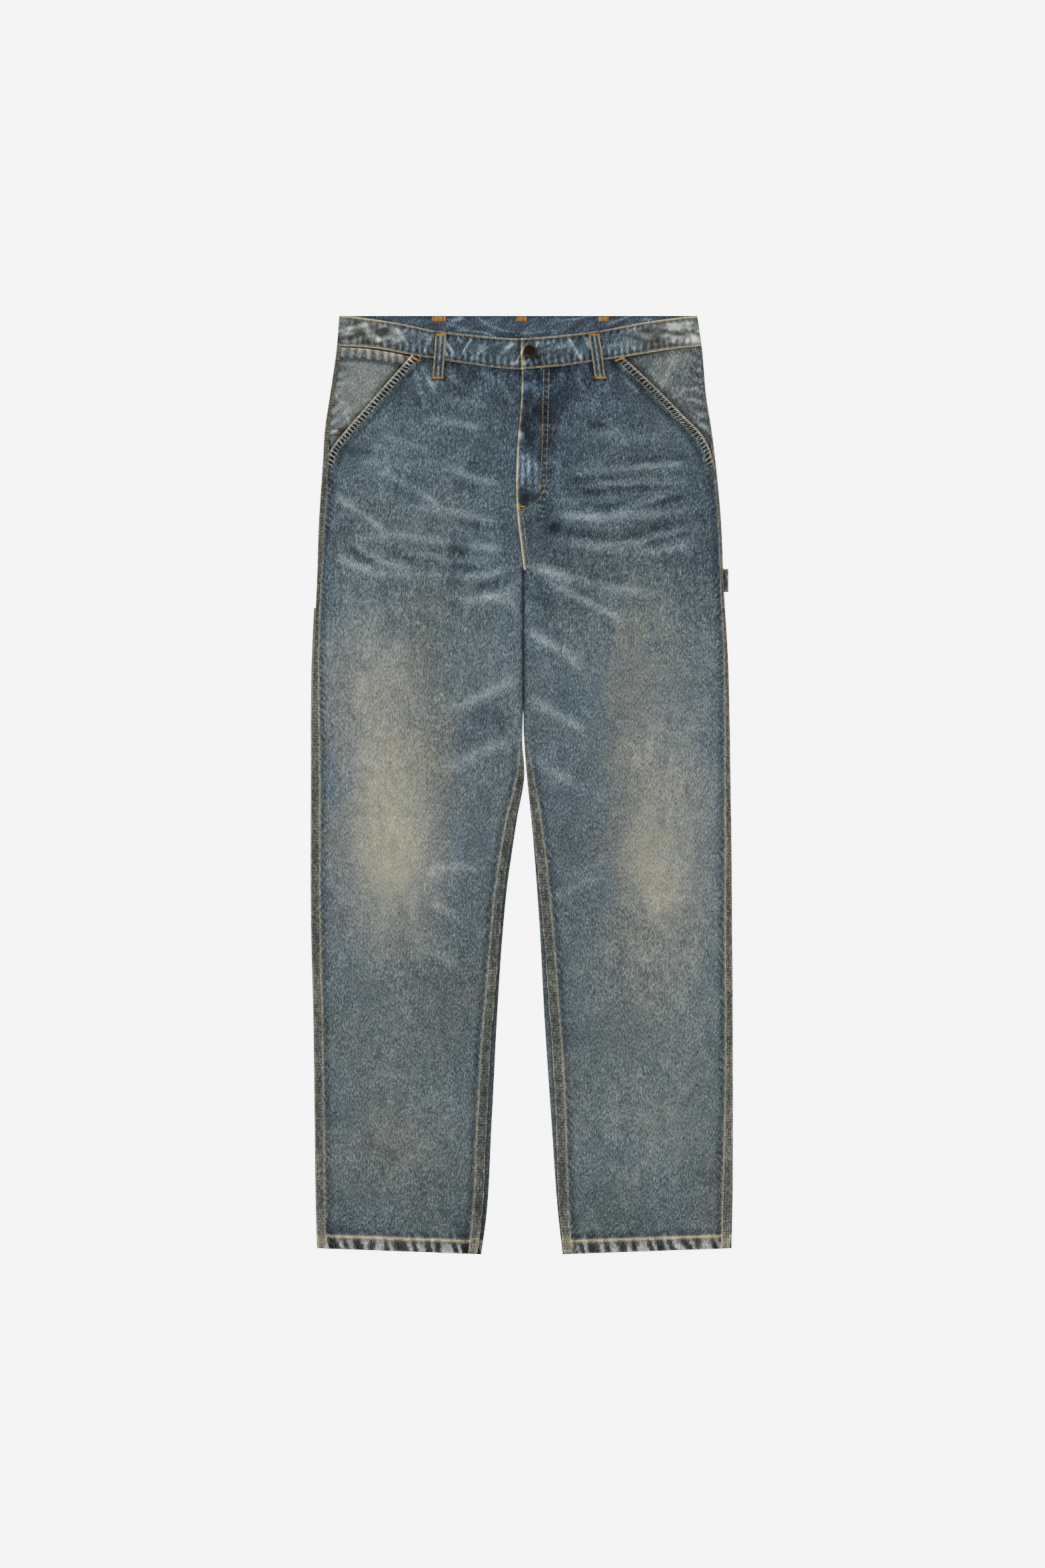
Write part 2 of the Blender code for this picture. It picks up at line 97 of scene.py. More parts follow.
# The wash down the middle of each leg: how light it is, as a photograph's grey from 0 to 1, and how brown
WASH = table(
    "down right left brown",
    (0, 0.41, 0.41, 0.05), (60, 0.35, 0.305, 0.1), (130, 0.378, 0.338, 0.14),
    (190, 0.384, 0.34, 0.15), (240, 0.383, 0.342, 0.17), (290, 0.393, 0.357, 0.19),
    (350, 0.44, 0.405, 0.22), (480, 0.447, 0.422, 0.24), (640, 0.445, 0.44, 0.27),
    (700, 0.42, 0.435, 0.36), (850, 0.41, 0.425, 0.46), (1000, 0.41, 0.42, 0.45),
    (1045, 0.37, 0.38, 0.5), (1083, 0.365, 0.375, 0.5),
)
# Worn and shaded patches: how far each reaches across and along the leg, and how much lighter and browner
PATCHES = table(
    "x down across along lighter browner",
    (-142, 583, 44, 100, 0.13, 0.02), (-152, 648, 26, 40, 0.068, 0.02), (-178, 420, 36, 90, 0.05, 0.05),
    (-98, 470, 18, 110, -0.04, 0.3), (-122, 350, 14, 60, -0.01, 0.25), (-110, 790, 40, 60, -0.015, 0.2),
    (-150, 960, 50, 34, 0.005, 0.25), (-44, 480, 30, 60, -0.03, 0.0), (-62, 628, 26, 70, -0.045, 0.05),
    (158, 608, 34, 110, 0.097, 0.03), (156, 655, 25, 37, 0.053, 0.03), (196, 480, 30, 100, 0.03, 0.05),
    (122, 450, 22, 120, 0.025, 0.3), (150, 340, 28, 40, 0.01, 0.25), (112, 720, 26, 70, -0.01, 0.2),
    (66, 628, 26, 70, -0.042, 0.05), (-55, 92, 52, 34, -0.045, 0.0), (52, 92, 62, 40, -0.04, 0.0),
    (-95, 230, 26, 60, 0.0, 0.15), (95, 215, 40, 40, -0.01, 0.1),
)


def smooth(t):
    """Eases from 0 to 1 as t goes from 0 to 1: t squared times 3 - 2t."""
    t = np.clip(t, 0.0, 1.0)
    return t * t * (3 - 2 * t)


def bell(t):
    """1 at t = 0, falling off evenly on both sides: e to the power of minus half of t squared."""
    return np.exp(-0.5 * np.square(t))


def read(sizes, name, at, key="down"):
    """A column of a table on a smooth curve: a cubic between two rows, its slope taken from their
    neighbours."""
    x, y = sizes[key], sizes[name]
    slope = np.gradient(y, x)
    at = np.clip(np.asarray(at, float), x[0], x[-1])
    i = np.clip(np.searchsorted(x, at) - 1, 0, len(x) - 2)
    step = x[i + 1] - x[i]
    t = (at - x[i]) / step
    bend = slope[i] * t * (1 - t) ** 2 - slope[i + 1] * t * t * (1 - t)
    return y[i] + (y[i + 1] - y[i]) * smooth(t) + step * bend


def waist_seam(x):
    """The depth of the front's waist seam."""
    return read(FRONT_BAND, "seam", x, "x")


def hem_bottom(x, side):
    """The depth of the hem's edge, which is higher at the outer end of a leg than at the inner one."""
    across = (np.abs(x) - 48.0) / (abs(LEGS[side]["outer"][-1]) - 48.0)
    return LENGTH - HEM_RISE * np.clip(across, 0.0, 1.0)


def depth(x, row, side, sag=1.0):
    """The depth of a row at x: the first rows of the front sag with the waist seam, the last ones follow
    the hem."""
    seam = sag * (waist_seam(x) - WAIST_SEAM)
    to_seam = 1 - smooth((row - WAIST_SEAM) / 110.0)
    to_hem = smooth((row - LENGTH + 160.0) / 140.0)
    return row + seam * to_seam + (hem_bottom(x, side) - LENGTH) * to_hem


def lift(side, down):
    """How far the pieces under the back raise a leg: one layer, easing to nothing over 70."""
    return LAYER * (1 - smooth((down - LIFT_END[side]) / 70.0))


def lumps(x, y, size, seed):
    """Soft uneven hills from about -1 to 1, "size" apart: random heights on a square lattice, eased
    between its corners."""
    heights = np.random.default_rng(seed).uniform(-1, 1, (97, 97))
    u, v = np.broadcast_arrays(np.asarray(x) / size, np.asarray(y) / size)
    i, j = np.floor(u).astype(int), np.floor(v).astype(int)
    a, b = smooth(u - i), smooth(v - j)
    near = heights[i % 97, j % 97] * (1 - a) + heights[(i + 1) % 97, j % 97] * a
    far = heights[i % 97, (j + 1) % 97] * (1 - a) + heights[(i + 1) % 97, (j + 1) % 97] * a
    return near * (1 - b) + far * b


def washed(x, down, side):
    """The wash at a point, as (light, brown): the middle's value, the patches' bells, a little darker towards
    the outer and inner edges, and uneven lumps.
    """
    light = read(WASH, WORDS[side], down)
    brown = read(WASH, "brown", down) + 0.12 * lumps(x, down, 55, 11)
    for px, pdown, across, along, lighter, browner in zip(*PATCHES.values()):
        patch = bell((x - px) / across) * bell((down - pdown) / along)
        light += lighter * patch
        brown += browner * patch
    outer = np.abs(x - read(LEGS[side], "outer", down))
    inner = np.abs(x - read(LEGS[side], "inner", down))
    light -= 0.035 * bell(outer / 22) + 0.035 * bell(inner / 55)
    light += 0.015 * lumps(x, down, 42, 3) + 0.02 * lumps(x, down * 0.4, 9, 4)
    return light, brown


def leg_grid(side, outer, inner, outer_roll, inner_roll, margins, between):
    """The grid of a leg panel: a quarter circle round each edge, then columns at the outer and the inner
    edge's margins and even steps between them. It gives x outside and inside, and how far each lies under
    the flat top."""
    turn = np.radians([0.0, 18, 36, 54, 72, 90])

    def edge(at, inward, roll, margins):
        """One edge's columns. Round the roll, x moves in by its radius times 1 - cos and drops by that times
        1 - sin, and the inner face does so with a radius that is smaller by the cloth."""
        at, roll = at[:, None], roll[:, None]
        small = np.maximum(roll - CLOTH, 0.02)
        margin = at + inward * (roll + margins)
        x = np.concatenate([at + inward * roll * (1 - np.cos(turn)), margin], 1)
        x_in = np.concatenate([at + inward * (roll - small * np.cos(turn)), margin], 1)
        flat = np.zeros(margin.shape)
        drop = np.concatenate([roll * (1 - np.sin(turn)), flat], 1)
        drop_in = np.concatenate([small * (1 - np.sin(turn)), flat], 1)
        return np.stack([x, x_in, drop, drop_in])

    first = edge(outer, -side, outer_roll, margins[0])
    last = edge(inner, side, inner_roll, margins[1])[:, :, ::-1]
    share = np.linspace(0, 1, between + 2)[1:-1]
    middle = first[0, :, -1:] + (last[0, :, :1] - first[0, :, -1:]) * share
    flat = np.zeros(middle.shape)
    return np.concatenate([first, np.stack([middle, middle, flat, flat]), last], 2)


def linear(colour):
    """A colour written as a photograph shows it, such as "#4b575f", as the light values Blender uses."""
    shown = np.array([int(colour[i : i + 2], 16) for i in (1, 3, 5)]) / 255.0
    light = np.where(shown <= 0.04045, shown / 12.92, ((shown + 0.055) / 1.055) ** 2.4)
    return (*light.tolist(), 1.0)


def new_material(name):
    """A new material, its node tree and its shader."""
    made = bpy.data.materials.new(name)
    made.use_nodes = True
    return made, made.node_tree, made.node_tree.nodes["Principled BSDF"]


def feed(tree, node, into):
    """Sets a node's sockets to values, or links them to other nodes' outputs."""
    for name, value in into.items():
        if isinstance(value, bpy.types.NodeSocket):
            tree.links.new(value, node.inputs[name])
        else:
            node.inputs[name].default_value = value


def add(tree, kind, settings=None, into=None):
    """Adds a node, sets its settings, and feeds its sockets."""
    made = tree.nodes.new("ShaderNode" + kind)
    for name, value in (settings or {}).items():
        setattr(made, name, value)
    feed(tree, made, into or {})
    return made


def reckon(tree, kind, *values):
    """Adds a node that does one sum, and gives its result."""
    return add(tree, "Math", {"operation": kind}, dict(enumerate(values))).outputs[0]


def painted(tree, kind):
    """Adds a node that reads a value painted on the mesh's points."""
    return add(tree, "Attribute", {"attribute_name": kind}).outputs["Fac"]


def ramp(tree, value, *stops):
    """Adds a colour ramp with stops of (place, colour)."""
    made = add(tree, "ValToRGB", into={"Fac": value})
    points = made.color_ramp.elements
    points[0].position, points[0].color = stops[0][0], linear(stops[0][1])
    points[1].position, points[1].color = stops[-1][0], linear(stops[-1][1])
    for place, colour in stops[1:-1]:
        points.new(place).color = linear(colour)
    return made.outputs["Color"]


# What the brown tint multiplies the cloth's colour by
WARM = (1.25, 1.0, 0.72, 1.0)


def denim_cloth(name, flecks, grain):
    """Washed denim. "light" picks the wash's colour. "shade" makes that brighter or darker by e to the power
    of five times its value: painted light and shade on ridges, in troughs and beside raised parts, with worn
    creases and single yarns. "brown" tints it. The paler the cloth, the less its yarns stand out."""
    made, tree, shader = new_material(name)
    place = add(tree, "TexCoord").outputs["Object"]
    mm = add(tree, "VectorMath", {"operation": "SCALE"}, {0: place, "Scale": 1000.0}).outputs[0]

    def yarns(scale, turn, detail, much):
        """Noise from -much/2 to much/2, stretched along yarns: scale is how many fit a millimetre."""
        spread = {"Vector": mm, "Rotation": (0, 0, math.radians(turn)), "Scale": (*scale, 0.3)}
        spread = add(tree, "Mapping", None, spread).outputs[0]
        into = {"Vector": spread, "Scale": 1.0, "Detail": detail, "Roughness": 0.6}
        noise = add(tree, "TexNoise", None, into).outputs["Fac"]
        return reckon(tree, "MULTIPLY", reckon(tree, "SUBTRACT", noise, 0.5), much)

    def plus(*values):
        """The sum of several values."""
        total = values[0]
        for value in values[1:]:
            total = reckon(tree, "ADD", total, value)
        return total

    cloudy = yarns((0.09, 0.05), 0, 3.0, 0.12)
    slanted = yarns((0.85, 0.27), -33, 2.0, flecks)
    upright = yarns((0.95, 0.3), -12, 2.0, flecks)
    fine = yarns((1.7, 1.2), 0, 2.0, grain)
    warp = yarns((0.6, 0.03), 0, 3.0, 0.1)
    turned = {"Vector": mm, "Rotation": (0, 0, math.radians(-33))}
    turned = add(tree, "Mapping", None, turned).outputs[0]
    wave = {"Vector": turned, "Scale": 0.33, "Distortion": 1.2, "Detail Scale": 0.8}
    twill = add(tree, "TexWave", {"wave_type": "BANDS"}, wave).outputs["Fac"]
    ridges = reckon(tree, "MULTIPLY_ADD", twill, 0.06, -0.03)
    indigo = [(0.0, "#121620"), (0.2, "#26303c"), (0.27, "#37414d"), (0.34, "#435059"), (0.42, "#54616a")]
    pale = [(0.5, "#6a7375"), (0.55, "#7d847f"), (0.6, "#8f9285"), (0.72, "#c6c3a2"), (0.9, "#f2edca")]
    colour = ramp(tree, plus(painted(tree, "light"), cloudy), *indigo, *pale)
    grains = plus(slanted, upright, fine, warp, ridges)
    less = reckon(tree, "MULTIPLY_ADD", painted(tree, "light"), -1.9, 1.75)
    tone = reckon(tree, "MULTIPLY_ADD", grains, less, painted(tree, "shade"))
    bright = reckon(tree, "POWER", math.exp(5), tone)
    shaded = add(tree, "VectorMath", {"operation": "SCALE"}, {0: colour, "Scale": bright}).outputs[0]
    mixed = {"data_type": "RGBA", "blend_type": "MULTIPLY"}
    warm = add(tree, "Mix", mixed, {0: painted(tree, "brown"), 6: shaded, 7: WARM}).outputs[2]
    bump = add(tree, "Bump", None, {"Strength": 0.5, "Distance": 0.0012, "Height": plus(grains, ridges)})
    feed(tree, shader, {"Base Color": warm, "Normal": bump.outputs[0], "Roughness": 0.92})
    feed(tree, shader, {"Specular IOR Level": 0.18, "Sheen Weight": 0.1, "Sheen Roughness": 0.5})
    return made


denim = denim_cloth("washed denim", 0.6, 0.45)


def in_metres(points):
    """Points of (x, down, height) as metres in the part's frame, whose origin is half way down."""
    return np.stack([points[..., 0], LENGTH / 2 - points[..., 1], points[..., 2]], -1) / 1000.0


def mesh_piece(name, points, faces, finish, paint):
    """An object from points in millimetres, faces as index rows, and painted values for the points."""
    mesh = bpy.data.meshes.new(name)
    mesh.from_pydata(in_metres(points).tolist(), [], faces.tolist())
    for kind, values in paint.items():
        layer = mesh.attributes.new(kind, "FLOAT", "POINT")
        layer.data.foreach_set("value", np.ascontiguousarray(values, dtype=np.float32).ravel())
    mesh.materials.append(finish)
    mesh.shade_smooth()
    mesh.set_sharp_from_angle(angle=math.radians(55))
    piece = bpy.data.objects.new(name, mesh)
    bpy.context.scene.collection.objects.link(piece)
    return piece


def grid_faces(rows, columns):
    """The four corners of each face of a grid, by their numbers."""
    index = np.arange(rows * columns).reshape(rows, columns)
    return np.stack([index[:-1, :-1], index[1:, :-1], index[1:, 1:], index[:-1, 1:]], -1).reshape(-1, 4)


def cloth(name, outside, inside, paint, node, flat, lies_on, area=None, finish=denim, slot="washed_denim"):
    """A cloth piece: two grids of points joined round their rim, and turned so that its faces look out. The
    paint is its light, shade and brown on a grid."""
    rows, columns = outside.shape[:2]
    skin = grid_faces(rows, columns)
    index = np.arange(rows * columns).reshape(rows, columns)
    rim = np.concatenate([index[0, :-1], index[:-1, -1], index[-1, :0:-1], index[:0:-1, 0]])
    after = np.roll(rim, -1)
    under = rows * columns
    edge = np.stack([rim, after, after + under, rim + under], -1)
    faces = np.concatenate([skin, skin[:, ::-1] + under, edge])
    a, b, c = outside[0, 0], outside[-1, 0], outside[0, -1]
    thick = (outside - inside).mean((0, 1))
    across = np.cross(in_metres(b) - in_metres(a), in_metres(c) - in_metres(a))
    if across @ (thick * (1, -1, 1)) < 0:
        faces = faces[:, ::-1]
    points = np.concatenate([outside.reshape(-1, 3), inside.reshape(-1, 3)])
    both = [np.concatenate([np.broadcast_to(values, (rows, columns)).ravel()] * 2) for values in paint]
    paint = dict(zip(("light", "shade", "brown"), both))
    piece = mesh_piece(name, points, faces, finish, paint)
    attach(piece, "root")
    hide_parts(node)
    return piece


def stack(x, down, height):
    """Points from their x, depth and height, any of which may be one number for all."""
    return np.stack(np.broadcast_arrays(x, down, height), -1).astype(float)


def back_panel(name, node, side):
    """The flat back at its lift, with the edges' quarter circles turned up."""
    rows = np.concatenate([np.linspace(34.5, 290, 62), np.linspace(294, LENGTH, 190)])
    leg = LEGS[side]
    outer, inner = read(leg, "outer", rows), read(leg, "inner", rows)
    inner_roll = np.where(rows > CROTCH, ROLL, 0.05)
    outer_roll = np.full(rows.shape, ROLL)
    margins = [np.array([1.5, 4.0, 8.0, 13.0])] * 2
    x, x_in, drop, drop_in = leg_grid(side, outer, inner, outer_roll, inner_roll, margins, 44)
    down = depth(x, rows[:, None], side, sag=0.0)
    wave = 0.5 + 0.5 * lumps(x, down, 34, 21 + side)
    flat = smooth((np.abs(x - outer[:, None]) - 14) / 30) * smooth((np.abs(x - inner[:, None]) - 14) / 30)
    low = lift(side, down) + 0.25 * wave * flat
    light, brown = washed(x, down, side)
    seat = bell((np.abs(x) - 105) / 60) * bell((down - 190) / 90)
    shade = 0.02 * lumps(x, down, 26, 8) - 0.1 * (drop < ROLL - 0.05) * (drop > 0.05)
    paint = (light + 0.06 * seat - 0.02, shade, brown)
    points = stack(x, down, low + drop), stack(x_in, down, low + CLOTH + drop_in)
    cloth(name, *points, paint, node, (0.252, 1.048), ["floor"], area=0.243)


back_panel("back_panel_right", "back_right", RIGHT)
back_panel("back_panel_left", "back_left", LEFT)

# The pieces on the back
# Two patch pockets, the tool pocket in the right side seam, the hammer loop in the left one and three belt
# loops, all of the same denim, sewn on with their edges turned in. The pants lie on them.


def patch(name, node, rows, flat, step=3.0, area=None, browner=0.0):
    """A flat piece under the back: its sides come from the rows' table, and its lower edge hangs lower in
    the middle by "point". Its face is worn along the edges."""
    down = np.arange(rows["down"][0], rows["down"][-1] + step / 2, step)[:, None]
    left, right, point = (np.interp(down, rows["down"], rows[key]) for key in ("left", "right", "point"))
    count = max(5, int((right - left).mean() / step))
    share = np.concatenate([[0.0, 0.006], np.linspace(0.02, 0.98, count), [0.994, 1.0]])
    x = left + (right - left) * share
    low = point * (1 - np.abs(2 * share - 1))
    at = down + low
    side = RIGHT if x.mean() < 0 else LEFT
    edge = np.minimum.reduce([x - left, right - x, at - down[0], down[-1] + low - at])
    turned = 0.35 * (1 - smooth((edge - 7.5) / 1.5)) + 0.1 * lumps(x, at, 7, 5)
    worn = 0.2 * bell(edge / 1.4)
    shade = 0.1 * lumps(x, at, 7, 6) * bell(edge / 8) - 0.07 * bell((edge - 4) / 2)
    light, brown = washed(x, at, side)
    points = stack(x, at, np.maximum(0.45 - turned, 0.0)), stack(x, at, CLOTH)
    cloth(name, *points, (light + worn, shade, brown + browner), node, flat, ["floor"], area=area)


PATCH = "down left right point"
BACK_POCKETS = {
    RIGHT: table(PATCH, (92, -187, -33, 0), (150, -184, -36, 0), (235, -178, -42, 22)),
    LEFT: table(PATCH, (92, 33, 183, 0), (150, 36, 180, 0), (235, 42, 174, 22)),
}
TOOL_POCKET = table(PATCH, (337, -240.3, -118, 0), (405, -243.3, -120, 0), (482, -244.1, -124, 0))
HAMMER_LOOP = table(PATCH, (292, 120, 238.8, 0), (319, 120, 238.8, 0))
LOOP_WIDTH = 12.0
BACK_LOOPS = {"right": -95.5, "centre": 0.0, "left": 94.7}
patch("back_patch_pocket_right", "back_pocket_right", BACK_POCKETS[RIGHT], (0.154, 0.165), area=0.0228)
patch("back_patch_pocket_left", "back_pocket_left", BACK_POCKETS[LEFT], (0.15, 0.165), area=0.0222)
patch("side_tool_pocket", "tool_pocket", TOOL_POCKET, (0.124, 0.145))
patch("side_hammer_loop", "hammer_loop", HAMMER_LOOP, (0.119, 0.027), step=1.5, browner=1.4)
for word, x in BACK_LOOPS.items():
    sides = (x - LOOP_WIDTH / 2, x + LOOP_WIDTH / 2, 0)
    rows = table(PATCH, (1, *sides), (56, *sides))
    patch("loop_on_back_" + word, "belt_loop_back_" + word, rows, (LOOP_WIDTH / 1000, 0.055), step=1.0)

# The pocket facings and the coin pocket
# The front's corners are cut away on the slant, and a facing of the same denim fills each one and runs in
# under the front. The right facing carries the coin pocket, with its top edge turned in under the waistband.
SLANTS = {
    RIGHT: table(
        "down x", (46, -127.5), (77, -154.8), (113, -186.2), (131, -201.9), (162, -224), (173, -227)
    ),
    LEFT: table("down x", (46, 115.5), (83, 154.8), (115, 186.3), (138, 208.2), (162, 219.5), (173, 221.5)),
}
POCKET_END = 173.0
COIN_TOP, COIN_END = 38.0, 137.0
# How far the facings and the coin pocket run in under the front, and how high two rolled edges stand
FACING_UNDER, COIN_UNDER = 25.0, 14.0
FLUSH = 2 * ROLL


def slant_slope(down, side):
    """How much x changes with the depth along the slanted edge of the front."""
    edge = SLANTS[side]
    return np.interp(down, edge["down"], np.gradient(edge["x"], edge["down"]))


def inside_slant(x, down, side):
    """How far a point lies inside the slanted edge, measured across it: the distance in x over the square
    root of 1 + slope squared."""
    return -side * (x - read(SLANTS[side], "x", down)) / np.sqrt(1 + slant_slope(down, side) ** 2)


def rows_on_slant(rows, side):
    """Where rows cross the slanted edge, found by putting each depth back into the edge's curve."""
    down = rows
    for _ in range(6):
        down = depth(read(SLANTS[side], "x", down), rows, side)
    return read(SLANTS[side], "x", down)


def crease_lines(x, down, size, seed):
    """Thin broken crease lines of an even width: 1 where soft hills pass through their middle height, which
    is told from the height over the slope, and 0 between."""
    hill = lumps(x, down, size, seed)
    beside, below = lumps(x + 0.1, down, size, seed), lumps(x, down + 0.1, size, seed)
    slope = np.hypot(beside - hill, below - hill) / 0.1
    broken = smooth(0.5 + lumps(x, down, size * 1.6, seed + 1))
    return bell(hill / (1.1 * slope + 0.01)) * broken


def beside_seam(x, down, side):
    """Short creases that run in from the side seam, as the change in shade that they make."""
    outer = np.abs(x - read(LEGS[side], "outer", down))
    waves = np.sin(down / 2.1 + 0.22 * outer + 3.0 * lumps(x, down, 22, 35))
    return 0.1 * np.tanh(2 * waves) * bell((outer - 8) / 5) * smooth(0.7 + lumps(0 * x, down, 18, 36))


def facing(name, node, side):
    """A facing, rolled into the side seam at its outer edge and flat where it runs in under the front."""
    rows = np.linspace(34.6, 168.0, 60)
    outer = read(LEGS[side], "outer", rows)
    inner = rows_on_slant(rows, side) - side * FACING_UNDER
    margins = [np.array([1.2, 2.6, 4.2, 6.0, 8.0, 10.0])] * 2
    outer_roll, inner_roll = np.full(rows.shape, ROLL), np.full(rows.shape, 0.05)
    x, x_in, drop, drop_in = leg_grid(side, outer, inner, outer_roll, inner_roll, margins, 34)
    down = depth(x, rows[:, None], side)
    from_seam = smooth((np.abs(x - outer[:, None]) - 10) / 14)
    creases = 0.35 * lumps(x + 0.6 * down, down, 16, 31 + side) * from_seam
    top = lift(side, down) + FLUSH + creases
    light, brown = washed(x, down, side)
    centre = -188 if side == RIGHT else 178
    light += 0.095 + 0.05 * bell((x - centre) / 22) * bell((down - 75) / 30)
    shade = 0.12 * creases + 0.04 * lumps(x, down, 11, 33) + 0.13 * crease_lines(x + 0.5 * down, down, 15, 34)
    shade += beside_seam(x, down, side)
    shade -= 0.2 * bell((inside_slant(x, down, side) + 0.5) / 3.0)
    shade -= 0.12 * bell((down - waist_seam(x) - 1) / 3.5)
    paint = (light, shade, brown + 0.3 + 0.1 * side)
    points = stack(x, down, top - drop), stack(x_in, down, top - CLOTH - drop_in)
    cloth(name, *points, paint, node, (0.13, 0.133), ["back_panel_" + WORDS[side]], area=0.0098)


def coin_pocket(name, node):
    """The coin pocket, over the right facing: a turned band along its top, and flat cloth below."""
    fine, coarse = np.linspace(COIN_TOP, COIN_TOP + 14, 18), np.linspace(COIN_TOP + 16, COIN_END, 44)
    rows = np.concatenate([fine, coarse])
    start, slant = read(RIGHT_LEG, "outer", rows) + 3.4, rows_on_slant(rows, RIGHT)
    x = start[:, None] + (slant + COIN_UNDER - start)[:, None] * np.linspace(0, 1, 48)
    down = depth(x, rows[:, None], RIGHT)
    from_slant = inside_slant(x, down, RIGHT)
    below = down - waist_seam(x) - 2.0
    band = (1 - smooth((below - 10.5) / 1.2)) * (1 - smooth((x - slant[:, None] + 3) / 3))
    pucker = band * (0.5 + 0.5 * np.sin(x / 1.5 + 1.6 * lumps(x, down, 9, 41)))
    top = lift(RIGHT, down) + FLUSH + LAYER + 0.7 * band + 0.35 * pucker + 0.15 * lumps(x, down, 14, 43)
    light, brown = washed(x, down, RIGHT)
    light += 0.115 + 0.06 * bell((x + 186) / 22) * bell((down - 80) / 30)
    light += 0.16 * bell((below - 0.4) / 1.4)
    shade = 0.04 * lumps(x, down, 11, 44) + 0.13 * crease_lines(x - 0.5 * down, down, 15, 45)
    shade += beside_seam(x, down, RIGHT) * smooth((below - 14) / 6)
    shade += 0.26 * (pucker - 0.55 * band) - 0.2 * bell((below - 13) / 2.0)
    shade -= 0.2 * bell((from_slant + 0.5) / 3.0)
    shade += 0.35 * bell((down - COIN_END + 4.5) / 2.5) * lumps(x, down, 3.5, 46)
    thick = CLOTH * (1 - smooth((from_slant - 1) / 3))
    points = stack(x, down, top), stack(x, down, top - thick)
    paint = (light, shade, brown + 0.18)
    cloth(name, *points, paint, node, (0.113, 0.1), ["facing_right"], area=0.0075)


facing("facing_right", "pocket_facing_right", RIGHT)
facing("facing_left", "pocket_facing_left", LEFT)
coin_pocket("small_coin_pocket", "coin_pocket")

# The front leg panels
# One layer of the same denim over the back. The slanted pocket edges and the hems are turned in and sewn
# down, the left front laps over the right one at the fly, and wear has faded the folds and the knees.
FLY_EDGE = table("down x", (60, 0.0), (97, -1.2), (161, -5.6), (225, -5.6), (259, -1.8), (293.4, 2.4))
FLY_STITCHES = table(
    "down inner outer",
    (60, 25.5, 31.6), (100, 24.6, 30.6), (160, 23.2, 28.8), (200, 20.5, 26.0), (212, 18.6, 22.0),
)
FLY_END = 235.0
# The seams' strips: how far in from the edge, and how wide. The inside ones come out from between the legs.
INSEAMS = {
    RIGHT: table(
        "down inset width",
        (490, 0.6, 2.2), (530, 0.9, 7.0), (570, 2.2, 9.2), (650, 3.6, 9.6),
        (742, 3.6, 10.0), (858, 5.9, 10.6), (930, 6.0, 10.6), (1019, 5.4, 10.6),
        (1083.4, 4.4, 10.4),
    ),
    LEFT: table(
        "down inset width",
        (490, 0.6, 2.2), (536, 0.7, 7.0), (604, 1.4, 10.4), (697, 4.0, 10.7),
        (788, 6.0, 11.0), (858, 6.8, 11.0), (930, 5.6, 10.8), (996, 2.8, 10.8),
        (1056, 1.4, 10.0), (1083.4, 1.2, 10.0),
    ),
}
OUTSEAMS = {
    RIGHT: table(
        "down inset width",
        (36, 0.7, 4.6), (128, 0.7, 4.8), (180, 0.7, 6.2), (250, 0.8, 5.2), (330, 0.8, 3.4),
        (400, 0.8, 5.6), (480, 0.8, 8.6), (600, 0.8, 9.2), (800, 0.9, 9.4), (1083.4, 0.9, 9.6),
    ),
    LEFT: table(
        "down inset width",
        (36, 0.6, 1.8), (180, 0.6, 2.4), (250, 0.6, 2.6), (340, 0.6, 2.6),
        (400, 0.7, 3.6), (540, 0.8, 5.2), (640, 0.9, 6.4), (760, 1.1, 7.0),
        (915, 1.3, 7.8), (1000, 2.2, 9.0), (1050, 2.6, 9.2), (1083.4, 1.8, 10.0),
    ),
}
# The two belt loops that cross the front's waist seam, from their upper to their lower end
FRONT_LOOPS = table("x1 down1 x2 down2", (-93.2, 21.6, -97.2, 72.8), (83.3, 21.6, 90.7, 72.8))
